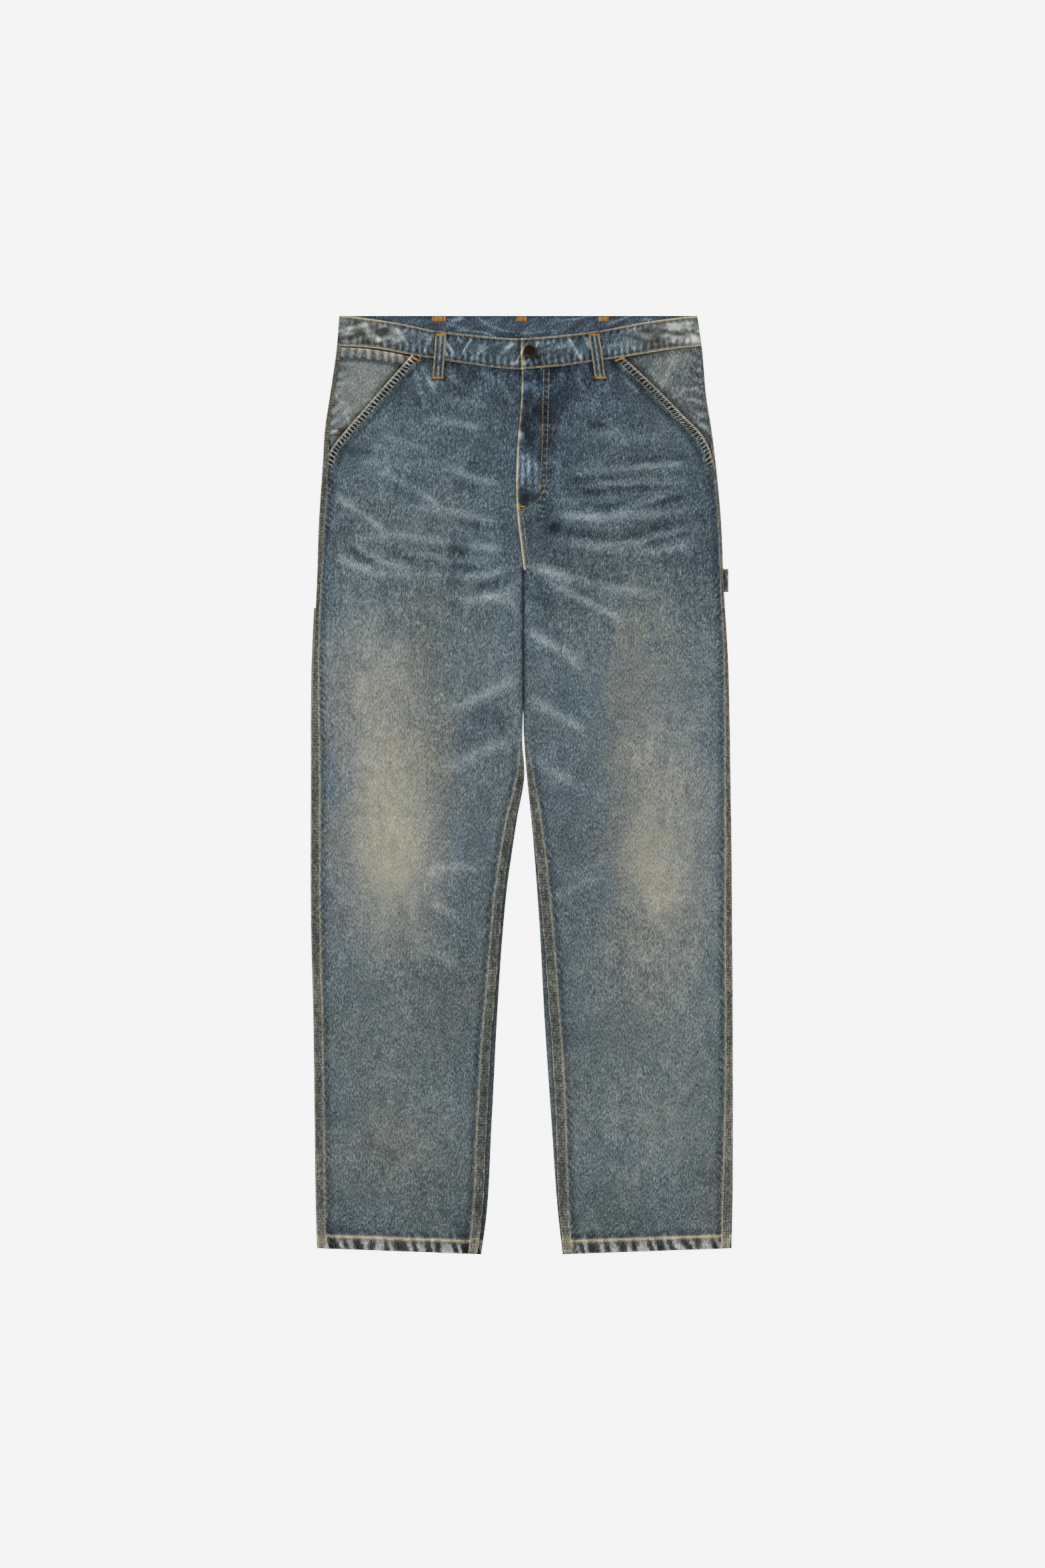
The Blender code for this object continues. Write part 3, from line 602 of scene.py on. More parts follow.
# Folds: each runs from point 1 to point 2 and bows by "bend". The lighter rows are worn ridges with painted
# highlight and raise the cloth; the darker rows are troughs and shadows of painted shade and lower it.
FOLDS = table(
    "x1 down1 x2 down2 bend width lighter",
    (-98, 95, -31, 103, 0, 5, 0.05), (-115, 118, -40, 133, -2, 3.5, 0.08),
    (-165, 140, -99, 165, -5, 3, 0.05), (-175, 151, -128, 161, -2, 3, 0.05),
    (-195, 170, -96, 177, -2, 4.1, 0.05), (-88, 173, -18, 195, 4, 3.5, 0.08),
    (-175, 176, -90, 223, -3, 3, 0.08), (-150, 219, -20, 240, -3, 3.5, 0.07),
    (-222, 203, -155, 252, -1, 3, 0.11), (-165, 249, -80, 263, 0, 4.1, 0.07),
    (-203, 257, -150, 256, 0, 3.2, 0.05), (-66, 263, -18, 270, 1, 3.5, 0.10),
    (-200, 260, -115, 294, 7, 3.2, 0.09), (-138, 274, -80, 283, -2, 3.2, 0.06),
    (-68, 284, -15, 279, 1, 3.2, 0.05), (-218, 275, -150, 300, 4, 3.8, 0.10),
    (-160, 299, -88, 299, 0, 4, 0.06), (-74, 303, -14, 291, 3, 3.5, 0.09),
    (-76, 330, -3, 331, -3, 4.1, 0.11), (-50, 325, -1, 310, 3, 3.2, 0.08),
    (-205, 157, -172, 158, 0, 3, -0.08), (-78, 237, -45, 244, 0, 3, -0.09),
    (-45, 245, -15, 244, 0, 3, -0.04), (-86, 268, -62, 276, 0, 4, -0.11),
    (-202, 266, -166, 287, 1, 3, -0.10), (-158, 268, -118, 283, 2, 3, -0.06),
    (-86, 287, -50, 293, 0, 3, -0.08), (-88, 308, -70, 312, 0, 5, -0.07),
    (-56, 316, -22, 306, 0, 3, -0.06), (-166, 300, -146, 372, 0, 4, -0.05),
    (-86, 330, -70, 350, 0, 6, -0.05), (-152, 196, -118, 220, 0, 3, -0.05),
    (-74, 191, -52, 202, 0, 4, -0.07), (-64, 172, -48, 175, 0, 5, -0.06),
    (-122, 92, -117, 106, 0, 5, -0.05), (-3, 416, -84, 456, -2, 4, 0.09),
    (-6, 485, -96, 530, 2, 5, 0.08), (-10, 456, -92, 496, 0, 10, -0.03),
    (-38, 643, -115, 645, 8, 4, 0.06), (-66, 708, -110, 676, 4, 4, 0.05),
    (-66, 757, -125, 727, 5, 5, 0.04), (-190, 958, -140, 972, -3, 5, -0.04),
    (-116, 54, -97, 88, 2, 2.2, 0.09), (-108, 66, -99, 92, 1, 2.2, 0.09),
    (-122, 62, -110, 108, 2, 2.2, 0.08), (-80, 60, -72, 84, 1, 2.2, 0.07),
    (-28, 68, -7, 104, 2, 2.2, 0.09), (56, 104, 92, 110, 0, 6, 0.06),
    (98, 101, 122, 104, 0, 5, 0.04), (76, 140, 118, 131, 1, 4.7, 0.07),
    (96, 147, 172, 139, 0, 4.5, 0.05), (48, 184, 202, 171, -2, 3.2, 0.08),
    (70, 197, 210, 195, -3, 3.5, 0.07), (34, 214, 72, 215, 0, 4, 0.07),
    (76, 214, 118, 211, 0, 3.2, 0.04), (118, 223, 184, 199, 1, 2.7, 0.07),
    (34, 229, 212, 219, 8, 4.1, 0.08), (38, 230, 104, 234, 0, 4, 0.06),
    (100, 231, 128, 222, 0, 4.1, 0.05), (30, 257, 208, 240, 15, 3.8, 0.09),
    (128, 274, 210, 257, 4, 4.1, 0.09), (80, 271, 128, 272, 0, 4, 0.05),
    (2, 286, 176, 320, 8, 4.3, 0.07), (2, 286, 64, 305, 0, 4, 0.06),
    (22, 302, 126, 355, 2, 3.2, 0.09), (3, 361, 75, 408, -1, 4.7, 0.11),
    (3, 438, 78, 482, 0, 4, 0.09), (6, 499, 72, 549, 3, 5, 0.06),
    (52, 190, 118, 187, 0, 2.5, -0.06), (60, 204, 175, 198, -1, 2.6, -0.07),
    (66, 204, 98, 206, 0, 2.6, -0.05), (76, 219, 122, 214, 4, 2.6, -0.07),
    (136, 224, 192, 206, 0, 2.6, -0.07), (44, 247, 116, 258, 1, 3.2, -0.08),
    (112, 257, 186, 232, 2, 3.2, -0.07), (134, 266, 200, 248, 1, 2, -0.08),
    (34, 240, 42, 252, 0, 5, -0.10), (70, 297, 126, 309, 0, 3, -0.05),
    (12, 316, 40, 345, 0, 6, -0.06), (110, 168, 200, 163, 0, 3, -0.06),
    (76, 126, 98, 127, 0, 4, -0.05), (30, 678, 98, 648, -4, 4, 0.06),
    (36, 652, 102, 626, 1, 4, 0.05), (200, 986, 222, 1010, -2, 5, -0.04),
    (105, 62, 97, 92, 1, 2.2, 0.10), (117, 66, 136, 92, 1, 2.2, 0.10),
    (92, 80, 84, 112, 2, 2.7, 0.07), (62, 62, 70, 86, 1, 2.2, 0.06),
    (44, 64, 38, 92, 2, 2.2, 0.06),
)
# Long soft folds of the legs, which only raise the cloth
SWELLS = table(
    "x1 down1 x2 down2 bend width height",
    (-208, 745, -75, 790, -8, 14, 0.9), (-205, 985, -85, 1010, -4, 12, 0.9),
    (-167, 290, -100, 500, -2, 9, -1.0), (-218, 646, -160, 640, -7, 8, 0.8),
    (160, 330, 104, 500, 9, 9, -1.0), (66, 772, 208, 745, 6, 14, 0.9),
    (88, 1006, 208, 982, 4, 12, 0.9),
)
# Light and dark places of the fly and of the panel beside it, over the zip and the layers underneath: worn
# ridges with painted highlight, and hollows with painted shade, which also raise and lower the cloth a little
FLY_MARKS = table(
    "x down across along shade",
    (6.2, 67, 2.2, 3.6, 0.26), (6.6, 79, 2.2, 3.4, 0.22), (5.4, 90, 2.0, 3.4, 0.16),
    (15.5, 78, 3.0, 7, 0.17), (30, 90, 6, 4.5, 0.12), (20, 90, 3, 5, 0.1),
    (8, 121, 13, 17, -0.16), (29, 111, 6, 8, -0.12), (30, 144, 7, 8, -0.1),
    (8, 211, 11, 4.6, -0.16), (1, 106, 2.2, 2.6, 0.17), (4, 122, 3, 2.2, 0.14),
    (0, 138, 2.2, 2.8, 0.16), (13, 131, 2.2, 2.4, 0.12), (0.8, 172, 1.5, 14, 0.26),
    (1.0, 188, 1.5, 9, 0.14), (7.7, 170, 1.5, 12, 0.25), (8.0, 186, 1.5, 9, 0.18),
    (16.6, 176, 1.6, 15, 0.18), (41, 178, 3.2, 16, 0.13), (36, 129, 9, 2.6, 0.12),
    (38, 246, 6, 7, -0.1),
)


def along_curves(x, down, curves):
    """The sum of bells across the curves of a table, each uneven along the curve, easing in and out at its
    ends, and as high as the last column says. A curve is the line between two points, bowed by a parabola."""
    total = np.zeros(x.shape)
    for x1, down1, x2, down2, bend, width, high in zip(*curves.values()):
        reach = math.hypot(x2 - x1, down2 - down1)
        over, along = (x2 - x1) / reach, (down2 - down1) / reach
        share = ((x - x1) * over + (down - down1) * along) / reach
        off = (down - down1) * over - (x - x1) * along - 4 * bend * share * (1 - share)
        uneven = 0.85 + 0.3 * lumps(x, down, 22, int(abs(x1)) + 5)
        total += high * bell(off / width) * smooth(share / 0.2) * smooth((1 - share) / 0.2) * uneven
    return total


def from_loops(x, down):
    """How far a point lies from the side of each front belt loop, one array after another."""
    for x1, down1, x2, down2 in zip(*FRONT_LOOPS.values()):
        middle = x1 + (x2 - x1) * (down - down1) / (down2 - down1)
        yield np.abs(x - middle) - LOOP_WIDTH / 2


def pocket_rise(x, down, side):
    """How far the facing lifts the front over it, and on the right the coin pocket too."""
    past = -side * (x - read(SLANTS[side], "x", down))
    rise = (1 - smooth((past - FACING_UNDER - 6.0) / 30.0)) * (1 - smooth((down - POCKET_END) / 20.0))
    if side == RIGHT:
        above = 1 - smooth((down - COIN_END - 2.0) / 16.0)
        rise += (1 - smooth((past - COIN_UNDER - 6.0) / 30.0)) * above
    return rise * LAYER


def front_top(x, down, side):
    """The front's top surface, with the wear and the painted light and shade of its relief, as (height,
    light, shade, brown).

    The surface is flush at the seams. Folds, soft lumps and what lies under it raise it, puckers ripple it
    along the seams, and the turned edges of the pocket and the hem add a second layer."""
    leg = LEGS[side]
    outer = np.abs(x - read(leg, "outer", down))
    inner = np.abs(x - read(leg, "inner", down)) + 2 * np.maximum(CROTCH - down, 0)
    inside = smooth((np.minimum(outer, inner) - 12.0) / 26.0)
    # the folds: worn ridges with painted highlight, troughs with painted shade; worn feeds light, shade and
    # height
    worn = along_curves(x, down, FOLDS)
    fold = along_curves(x, down, SWELLS) + 9 * worn
    soft = 0.45 * lumps(x, down, 46, 51) + 0.22 * lumps(x + 0.5 * down, down, 17, 52)
    height = lift(side, down) + FLUSH + (fold + soft) * inside + pocket_rise(x, down, side)
    light = 0.6 * worn
    shade = 1.1 * worn + 0.03 * soft + 0.025 * lumps(x, down, 7, 50)
    warmer = 0.8 * np.maximum(worn, 0)
    # the side seams, and the inside seams below the crotch
    sliver = read(INSEAMS[side], "inset", down)
    for from_edge, sizes, turn in ((outer, OUTSEAMS[side], -1), (inner, INSEAMS[side], 1)):
        beside = from_edge - read(sizes, "inset", down) - read(sizes, "width", down) + 0.4
        phase = down / 1.15 + turn * from_edge / 1.3 + 2.4 * lumps(x, down, 13, 53)
        ripple = np.sin(phase) * bell((beside - 5.0) / 3.5) * smooth(0.6 + lumps(x, down, 24, 49))
        reach = np.where(beside > -3, 1.0, 0.0) * smooth((down - POCKET_END - 6) / 14)
        if turn > 0:
            reach = reach * smooth((down - 470) / 60)
        height += 0.25 * ripple * reach
        light += reach * 0.2 * bell((beside - 0.6) / 1.0)
        shade += reach * (0.11 * ripple - 0.1 * bell((beside - 4.6) / 2.8))
    outside = (inner < sliver + 0.4) * smooth((down - 520) / 60)
    shade -= outside * (0.13 if side == RIGHT else 0.05) + 0.12 * outside * bell((inner - sliver) / 1.3)
    closed = smooth((down - CROTCH + 4) / 8) * (1 - smooth((down - 440) / 60))
    shade -= 0.22 * bell(inner / 1.8) * closed
    # the slanted pocket's turned edge, puckered between its two rows of stitches
    across = inside_slant(x, down, side)
    on_slant = 1 - smooth((down - POCKET_END + 2) / 6)
    band = (1 - smooth((across - 9.2) / 1.4)) * on_slant
    phase = (down + 0.7 * np.abs(x)) * 1.12
    pucker = np.sin(phase + 1.3 * lumps(x, down, 8, 54)) * bell((across - 5.2) / 2.1) * on_slant
    height += 0.8 * band + 0.3 * pucker
    light += 0.3 * bell((across - 0.5) / 1.4) * on_slant
    shade += 0.6 * np.tanh(2 * pucker) - 0.17 * bell((across - 5.2) / 2.2) * on_slant
    warmer += 0.6 * np.maximum(pucker, 0) + 0.4 * bell((across - 0.6) / 1.4) * on_slant
    shade -= 0.12 * bell((across - 13.5) / 2.5) * on_slant
    shade += 0.09 * bell((across - 10.2) / 0.9) * on_slant * (0.7 + lumps(x, down, 7, 48))
    # the fly
    if side == LEFT:
        edge, flap = read(FLY_EDGE, "x", down), x - read(FLY_EDGE, "x", down)
        reach = 1 - smooth((down - FLY_END) / 14)
        lap = (1 - smooth((flap - 16) / 26)) * (1 - smooth((down - 262.0) / 26.0))
        wide = read(FLY_STITCHES, "inner", down) - edge
        fly = (1 - smooth((flap - wide) / 4)) * reach
        crumple = lumps(x * 2.4, down * 1.2, 11, 55) + 0.7 * lumps(x * 1.5 + down, down, 6, 56)
        marks = np.zeros(x.shape)
        for mark_x, mark_down, wide_x, wide_down, darker in zip(*FLY_MARKS.values()):
            marks += darker * bell((x - mark_x) / wide_x) * bell((down - mark_down) / wide_down)
        height += LAYER * lap + 0.6 * fly + 0.4 * crumple * fly + 1.6 * marks * reach
        lip = bell((flap - 0.7) / 1.3) * (down < CROTCH) * (flap > -0.5)
        light += 0.46 * lip
        warmer += 0.5 * lip
        shade += marks + fly * (0.11 * crumple - 0.02)
        tape = bell((flap - wide - 4) / 3) * reach
        shade += tape * (0.16 * np.sin(down / 1.15 + 2 * lumps(x, down, 9, 46)) - 0.03)
        shade -= 0.06 * bell((flap - wide - 10) / 5) * reach * (0.7 + lumps(x, down, 12, 57))
    # under the waistband
    below = down - waist_seam(x)
    gather = lumps(x + 0.25 * below * lumps(x, 0 * x, 30, 44), below * 0.14, 4.2, 58) * bell(below / 12)
    height += 0.35 * gather * inside
    threads = crease_lines(x + 0.2 * below * lumps(x, 0 * x, 25, 64), below * 0.4, 7, 65) * bell(below / 16)
    shade += 0.13 * gather - 0.1 * bell(below / 6) + 0.06 * lumps(x, down, 12, 59) * bell(below / 26)
    shade += 0.13 * threads
    for beside in from_loops(x, down):
        shade -= 0.15 * bell(beside / 3.0) * (down < 76)
    # the hem, roped by its stitches
    above = hem_bottom(x, side) - down
    hem = 1 - smooth((above - 13.4) / 1.2)
    twist = x / 2.4 + above / 7.5 + 1.7 * lumps(x, down, 19, 61)
    rope = np.tanh(2.2 * np.sin(twist + 0.9 * np.sin(0.6 * twist)) + 0.7 * lumps(x, down, 5, 62))
    height += 0.75 * hem + hem * 0.5 * rope * bell((above - 6.5) / 5)
    shade += hem * (0.22 * rope * bell((above - 4.5) / 5.5) + 0.02) + 0.08 * bell(above / 1.2)
    tuck = bell((above - 19) / 3.5)
    height += tuck * (0.35 * rope - 0.1)
    light += 0.34 * bell((above - 15.0) / 1.3) + 0.04 * hem * rope
    wisps = bell((above - 21) / 5) * crease_lines(x, down, 9, 63)
    shade += tuck * (0.05 * rope - 0.08) + 0.11 * wisps - 0.16 * bell((inner - 16) / 1.6) * hem
    warmer += hem * 0.5
    return height, light, shade, warmer


def front_panel(name, node, side):
    """A front panel between its fly edge or inside seam and its slanted edge or side seam. Its rows are
    closest where the pockets, the fly and the hem need them."""
    above = np.arange(34.8, POCKET_END, 1.7), np.linspace(POCKET_END + 0.8, CROTCH - 0.6, 62)
    thigh = np.arange(CROTCH + 0.5, 350, 2.0), np.arange(352.5, 560, 3.0)
    below = np.arange(563, LENGTH - 41, 4.4), np.linspace(LENGTH - 38, LENGTH, 26)
    rows = np.concatenate([*above, *thigh, *below])
    leg = LEGS[side]
    slanted, split = rows < POCKET_END, rows > CROTCH
    outer = np.where(slanted, rows_on_slant(np.minimum(rows, POCKET_END), side), read(leg, "outer", rows))
    inner = np.where(split, read(leg, "inner", rows), read(FLY_EDGE, "x", rows))
    if side == RIGHT:
        inner += np.where(split, 0, 6.5 * (1 - smooth((rows - FLY_END) / 27)) - 0.5)
    outer_roll = np.where(slanted, 0.8, 0.8 + 1.2 * smooth((rows - POCKET_END) / 8))
    inner_roll = np.where(split, 0.8 + 1.2 * smooth((rows - CROTCH) / 8), 0.6)
    beside_outer = np.array([0.7, 1.6, 2.6, 3.7, 4.9, 6.2, 7.6, 9, 10.4, 11.8, 13.4, 15.2, 17.2, 19.6, 22.4])
    beside_inner = np.array([0.6, 1.4, 2.3, 3.3, *np.arange(4.6, 32, 1.5), 33.6, 36.4, 39.6])
    margins = beside_outer, beside_inner
    x, x_in, drop, drop_in = leg_grid(side, outer, inner, outer_roll, inner_roll, margins, 44)
    down = depth(x, rows[:, None], side)
    # worn is the front's light: the folds' wear, painted highlight and painted shade, and its worn edges
    top, worn, shade, warmer = front_top(x, down, side)
    light, brown = washed(x, down, side)
    low = np.minimum(top - CLOTH, top - drop - 0.3) - drop_in * 0.8
    paint = (light + worn, shade, brown + warmer)
    points = stack(x, down, top - drop), stack(x_in, down, low)
    cloth(name, *points, paint, node, (0.256, 1.046), ["back_panel_" + WORDS[side]], area=0.236)


front_panel("front_panel_right", "front_right", RIGHT)
front_panel("front_panel_left", "front_left", LEFT)

# The felled seams
# Where front and back meet, their edges are folded into each other and sewn down with three rows, which
# leaves a raised strip along each side and, from between the legs, along each inside seam.


def strip_place(kind, side, down):
    """A seam strip's edge nearest to the leg's own edge, and its width, both at a depth."""
    edge, turn = ("outer", -side) if kind == "outseam" else ("inner", side)
    sizes = (OUTSEAMS if kind == "outseam" else INSEAMS)[side]
    start = read(LEGS[side], edge, down) + turn * read(sizes, "inset", down)
    return start, turn * read(sizes, "width", down)


def strip_height(kind, side, down):
    """The strip's top: flush with the seam, over the pocket's corner, and over the hem at its end."""
    over = smooth((down - 34) / 8) * (1 - smooth((down - 184) / 22)) if kind == "outseam" else 0
    rise = (2.4 if side == RIGHT else 1.2) * over + 1.2 * over * smooth((down - 128) / 18)
    hem = 0.8 * smooth((down - LENGTH + 24) / 8)
    return lift(side, down) + FLUSH + 1.0 + rise + hem


seam_denim = denim_cloth("felled seam denim", 0.5, 0.6)


def seam_strip(name, node, kind, side):
    """A strip with a rounded back, which two grooves part into three ribs, one under each row of stitches."""
    first = 34.8 if kind == "outseam" else 491.0
    rows = np.arange(first, LENGTH - 0.6, 1.15)
    start, width = strip_place(kind, side, rows)
    share = np.linspace(0, 1, 11)
    x = start[:, None] + width[:, None] * share
    down = depth(x, rows[:, None], side)
    down = np.minimum(down, hem_bottom(x, side) - 0.6)
    grooves = np.cos(6 * math.pi * share) * (1 - bell((share - 0.5) / 0.4))
    crown = 0.55 * (1 - np.abs(2 * share - 1) ** 4) - 0.2 * grooves
    rib = np.sin(rows[:, None] * 2 * math.pi / 3.4 + 0.8 * lumps(rows[:, None], 0 * x, 15, 70))
    rough = lumps(x, down, 2.0, 71)
    wavy = lumps(down, 0 * x, 9, 72)
    top = strip_height(kind, side, down) - 0.55 + crown + 0.12 * rough + 0.12 * rib
    low = np.minimum(top - 0.9, lift(side, down) + FLUSH - 0.5)
    x = x + side * 0.5 * wavy * (1 if kind == "outseam" else -1)
    worn = bell((share - 0.04) / 0.08) + bell((0.96 - share) / 0.08)
    uneven = 0.05 * lumps(down, 0 * x, 32, 73 + side) + 0.03 * lumps(down, x, 9, 74)
    hem = smooth((down - LENGTH + 26) / 10)
    light = (0.36 if kind == "outseam" else 0.325) + uneven + 0.2 * worn + 0.14 * hem
    shade = 0.07 * rough + 0.05 * rib + 0.05 * grooves
    flat = (abs(width).max() / 1000 + 0.0005, (LENGTH - first) / 1000)
    area = abs(width).mean() * (LENGTH - first) / 1e6
    paint, points = (light, shade, 0.9 - 0.3 * worn), (stack(x, down, top), stack(x, down, low))
    lies_on = ["front_panel_" + WORDS[side]]
    cloth(name, *points, paint, node, flat, lies_on, area, finish=seam_denim, slot="felled_seam")


seam_strip("side_seam_right", "outseam_right", "outseam", RIGHT)
seam_strip("side_seam_left", "outseam_left", "outseam", LEFT)
seam_strip("inside_seam_right", "inseam_right", "inseam", RIGHT)
seam_strip("inside_seam_left", "inseam_left", "inseam", LEFT)

# The waistband
# One strip of denim folded double, sewn to the panels' top edges. It starts under the button, runs round the
# right side, along the back and round the left side, and ends over its own start at the fly.
BAND = 2.0
BAND_HEIGHT = 35.0
BAND_ROLL = BAND + GAP
# Where its buttonhole end lies across the fly
BAND_END = -1.0


def band_top(x):
    """The front waistband's top surface where it doesn't lap: the waistband twice over the back panel, and
    what the pockets raise it by."""
    rise = read(FRONT_BAND, "rise", x, "x")
    return LAYER + 2 * BAND + 2 * GAP + np.maximum(rise, 0) + 0.2


def lap_rise(x):
    """How far the waistband's end is raised by its own start, easing out beyond it."""
    return (BAND + GAP) * (1 - smooth((x - 30.0) / 26.0))


def waistband(name, node):
    """A section is a line across the band. Sections follow each other on the front, round a half circle at
    each side, and along the back. Creases run across the band and lift its outer face."""
    share = np.linspace(0, 1, 26)
    outside, inside, paint = [], [], []

    def lay(x, down, high, low, face):
        """Keeps some sections. Face is 1 where the band laps, 0.9 elsewhere in front and 0.2 on the back."""
        outside.append(stack(x, down, high))
        inside.append(stack(x, down, low))
        paint.append(face + 0 * x)

    def on_front(x, lap):
        """Sections on the front, whose upper rim is rounded off as a circle is."""
        x = x[:, None] + 0 * share
        top, seam = read(FRONT_BAND, "top", x, "x"), waist_seam(x) - GAP
        down = top + (seam - top) * share
        high = band_top(x) + (lap_rise(x) if lap else 0)
        rim = 0.8 * (1 - np.sqrt(np.clip(1 - np.square(np.clip(1 - (down - top) / 1.2, 0, 1)), 0, 1)))
        lay(x, down, high - rim, high - BAND, 1.0 if lap else 0.9)

    def on_side(leg, inward, turns):
        """Sections round a half circle at a side, by the angles in degrees."""
        down = share * BAND_HEIGHT + 0 * turns[:, None]
        edge = read(leg, "outer", down)
        angle = np.radians(turns)[:, None]
        middle = LAYER + BAND_ROLL
        for grids, r in ((outside, BAND_ROLL), (inside, BAND_ROLL - BAND)):
            across = edge + inward * (BAND_ROLL - r * np.cos(angle))
            grids.append(stack(across, down, middle + r * np.sin(angle)))
        paint.append(np.broadcast_to(np.where(angle > 0, 0.9, 0.3), down.shape))

    on_front(np.arange(27.0, -202, -1.6), False)
    on_side(RIGHT_LEG, 1, np.linspace(90, -90, 13))
    back = np.arange(-205.0, 200, 3.0)[:, None] + 0 * share
    lay(back, share * BAND_HEIGHT + 0 * back, LAYER + 0 * back, LAYER + BAND + 0 * back, 0.2)
    on_side(LEFT_LEG, -1, np.linspace(-90, 90, 13))
    on_front(np.arange(198.0, BAND_END, -1.6), True)
    on_front(np.array([BAND_END + 0.3, BAND_END]), True)
    out, within, face = (np.concatenate(part) for part in (outside, inside, paint))
    x, down = out[..., 0], out[..., 1]
    on_top = face > 0.5
    top, seam = read(FRONT_BAND, "top", x, "x"), waist_seam(x) - GAP
    from_top = np.where(on_top, down - top, down)
    from_seam = np.where(on_top, seam - down, BAND_HEIGHT - down)
    free = smooth((np.minimum(from_top, from_seam) - 1) / 6)
    slant = x + 0.55 * (down - 30) * np.sign(lumps(x, 0 * x, 60, 80))
    line = crease_lines(slant, down * 0.25, 13, 81)
    line2 = crease_lines(slant * 0.8 + 0.9 * down, down * 0.4, 9, 83)
    hills = lumps(slant, down * 0.8, 12, 85) + 0.6 * lumps(x, down, 6, 86)
    crumple = 0.8 * line + 0.6 * line2 + 0.5 * hills
    tuck = np.tanh(2 * np.sin(x / 1.2 + 1.8 * lumps(x, down, 12, 87)))
    streaks = lumps(x * 0.28, down - 0.2 * np.abs(x), 5.0, 95) + 0.5 * lumps(x * 0.5, down, 3, 96)
    gather = tuck * (0.6 * bell((from_top - 5) / 2.5) + bell((from_seam - 7) / 4))
    height = crumple * free * 0.7 + 0.28 * gather
    out[..., 2] += np.where(on_top, height, 0.0)
    out[..., 2] -= np.where(face < 0.25, 0.25 * (crumple * free + 1), 0.0)
    sides = smooth((np.abs(x + 4) - 105) / 60)
    light = 0.378 + 0.16 * sides + 0.02 * lumps(x, down, 30, 84)
    shade = (0.32 * line + (0.16 + 0.1 * sides) * line2 + 0.07 * hills) * free * (1 - 0.3 * sides)
    shade += 0.24 * streaks * free * sides + (0.16 - 0.06 * sides) * gather - 0.06
    shade -= 0.12 * bell((from_top - 3.4) / 1.4) + 0.1 * bell((from_seam - 3.6) / 1.4)
    light += 0.27 * bell((from_top - 0.3) / 1.1) + 0.2 * bell((from_seam - 0.3) / 1.0)
    end = np.where(on_top & (np.arange(len(x))[:, None] > len(x) // 2), x - BAND_END, 99.0)
    light += 0.36 * bell(end / 2.0)
    shade -= 0.14 * bell((x - BAND_END + 2.5) / 1.6) * on_top * (x < BAND_END)
    shade -= 0.1 * bell(np.hypot(x - 14, down - 46) / 9) + 0.12 * bell(np.hypot(x - 4, down - 33) / 5)
    for beside in from_loops(x, down):
        shade -= 0.16 * bell((beside - 0.5) / 2.2) * on_top
    dark = 0.285 + 0.02 * lumps(x, down, 30, 88)
    ray = crease_lines(x * 0.55 + down * np.sign(x + 0.1), down, 12, 89)
    dim = 0.2 * ray + 0.09 * lumps(x * 0.7 + down, down, 8, 90) - 0.1 * bell(down / 1.5)
    paint = (light, shade, 0.14 + 0.4 * bell(end / 2.0))
    flat, lies_on = (0.87, BAND_HEIGHT / 1000), ["back_panel_right", "back_panel_left"]
    piece = cloth(name, out, within, paint, node, flat, lies_on)
    # the inside of the back waistband keeps more of its colour
    for kind, inner in (("light", dark), ("shade", dim)):
        layer = piece.data.attributes[kind]
        values = np.zeros(len(layer.data), np.float32)
        layer.data.foreach_get("value", values)
        half = values[values.size // 2 :].reshape(x.shape)
        half[:] = np.where(face < 0.5, inner, half)
        layer.data.foreach_set("value", values)


waistband("folded_waistband", "waistband")

# The front belt loops
# Each is a strip folded in three, with a row of stitches along both sides and its two ends tacked down.
LOOP_THICK = 1.0
LOOP_ROWS = 56
# Where a loop's columns of points lie, from one edge at -1 to the other at 1
LOOP_COLUMNS = np.array([-1, -0.94, -0.8, -0.5, 0, 0.5, 0.8, 0.94, 1])


def front_loop(name, node, x1, down1, x2, down2):
    """A narrow strip over the waistband that comes down to the panel below its seam."""
    side = RIGHT if x1 < 0 else LEFT
    along, across = np.linspace(0, 1, LOOP_ROWS)[:, None], LOOP_COLUMNS
    x = x1 + (x2 - x1) * along + LOOP_WIDTH / 2 * across + 0.2 * lumps(along * 50, 0 * across, 6, 91)
    down = down1 + (down2 - down1) * along + 0 * across
    middle = np.full(down.shape, (x1 + x2) / 2)
    panel = front_top(middle, down, side)[0]
    band = band_top(middle)
    seam = waist_seam(middle)
    blend = smooth((down - seam + 2) / 7)
    low = np.maximum(band * (1 - blend) + panel * blend, panel.min()) + 0.35
    tacked = bell((along * 51 - 1) / 2.5) + bell((along * 51 - 50) / 2.5)
    crown = 0.35 * (1 - across**6) + 0.25 * bell(across / 0.45) - 0.35 * tacked
    top = low + LOOP_THICK + crown + 0.1 * lumps(x, down, 3.5, 92)
    worn = bell((1 - np.abs(across)) / 0.12)
    light = 0.4 + 0.22 * worn
    shade = 0.07 * lumps(x, down, 8, 93) - 0.26 * bell((np.abs(across) - 0.5) / 0.14)
    shade += 0.14 * bell(across / 0.22) * (0.8 + 0.4 * lumps(x, down, 4, 94))
    paint, points = (light, shade, 0.25 + 0.4 * worn), (stack(x, down, top), stack(x, down, low))
    cloth(name, *points, paint, node, (LOOP_WIDTH / 1000, 0.052), ["folded_waistband"])


front_loop("loop_on_front_right", "belt_loop_front_right", *(column[0] for column in FRONT_LOOPS.values()))
front_loop("loop_on_front_left", "belt_loop_front_left", *(column[1] for column in FRONT_LOOPS.values()))

# The stitching
# Thick cotton thread, golden on the pockets, fly, waistband and hems and olive brown on the felled seams,
# worn pale by the wash. Short dense tacks hold the ends of the loops, the pockets and the fly.


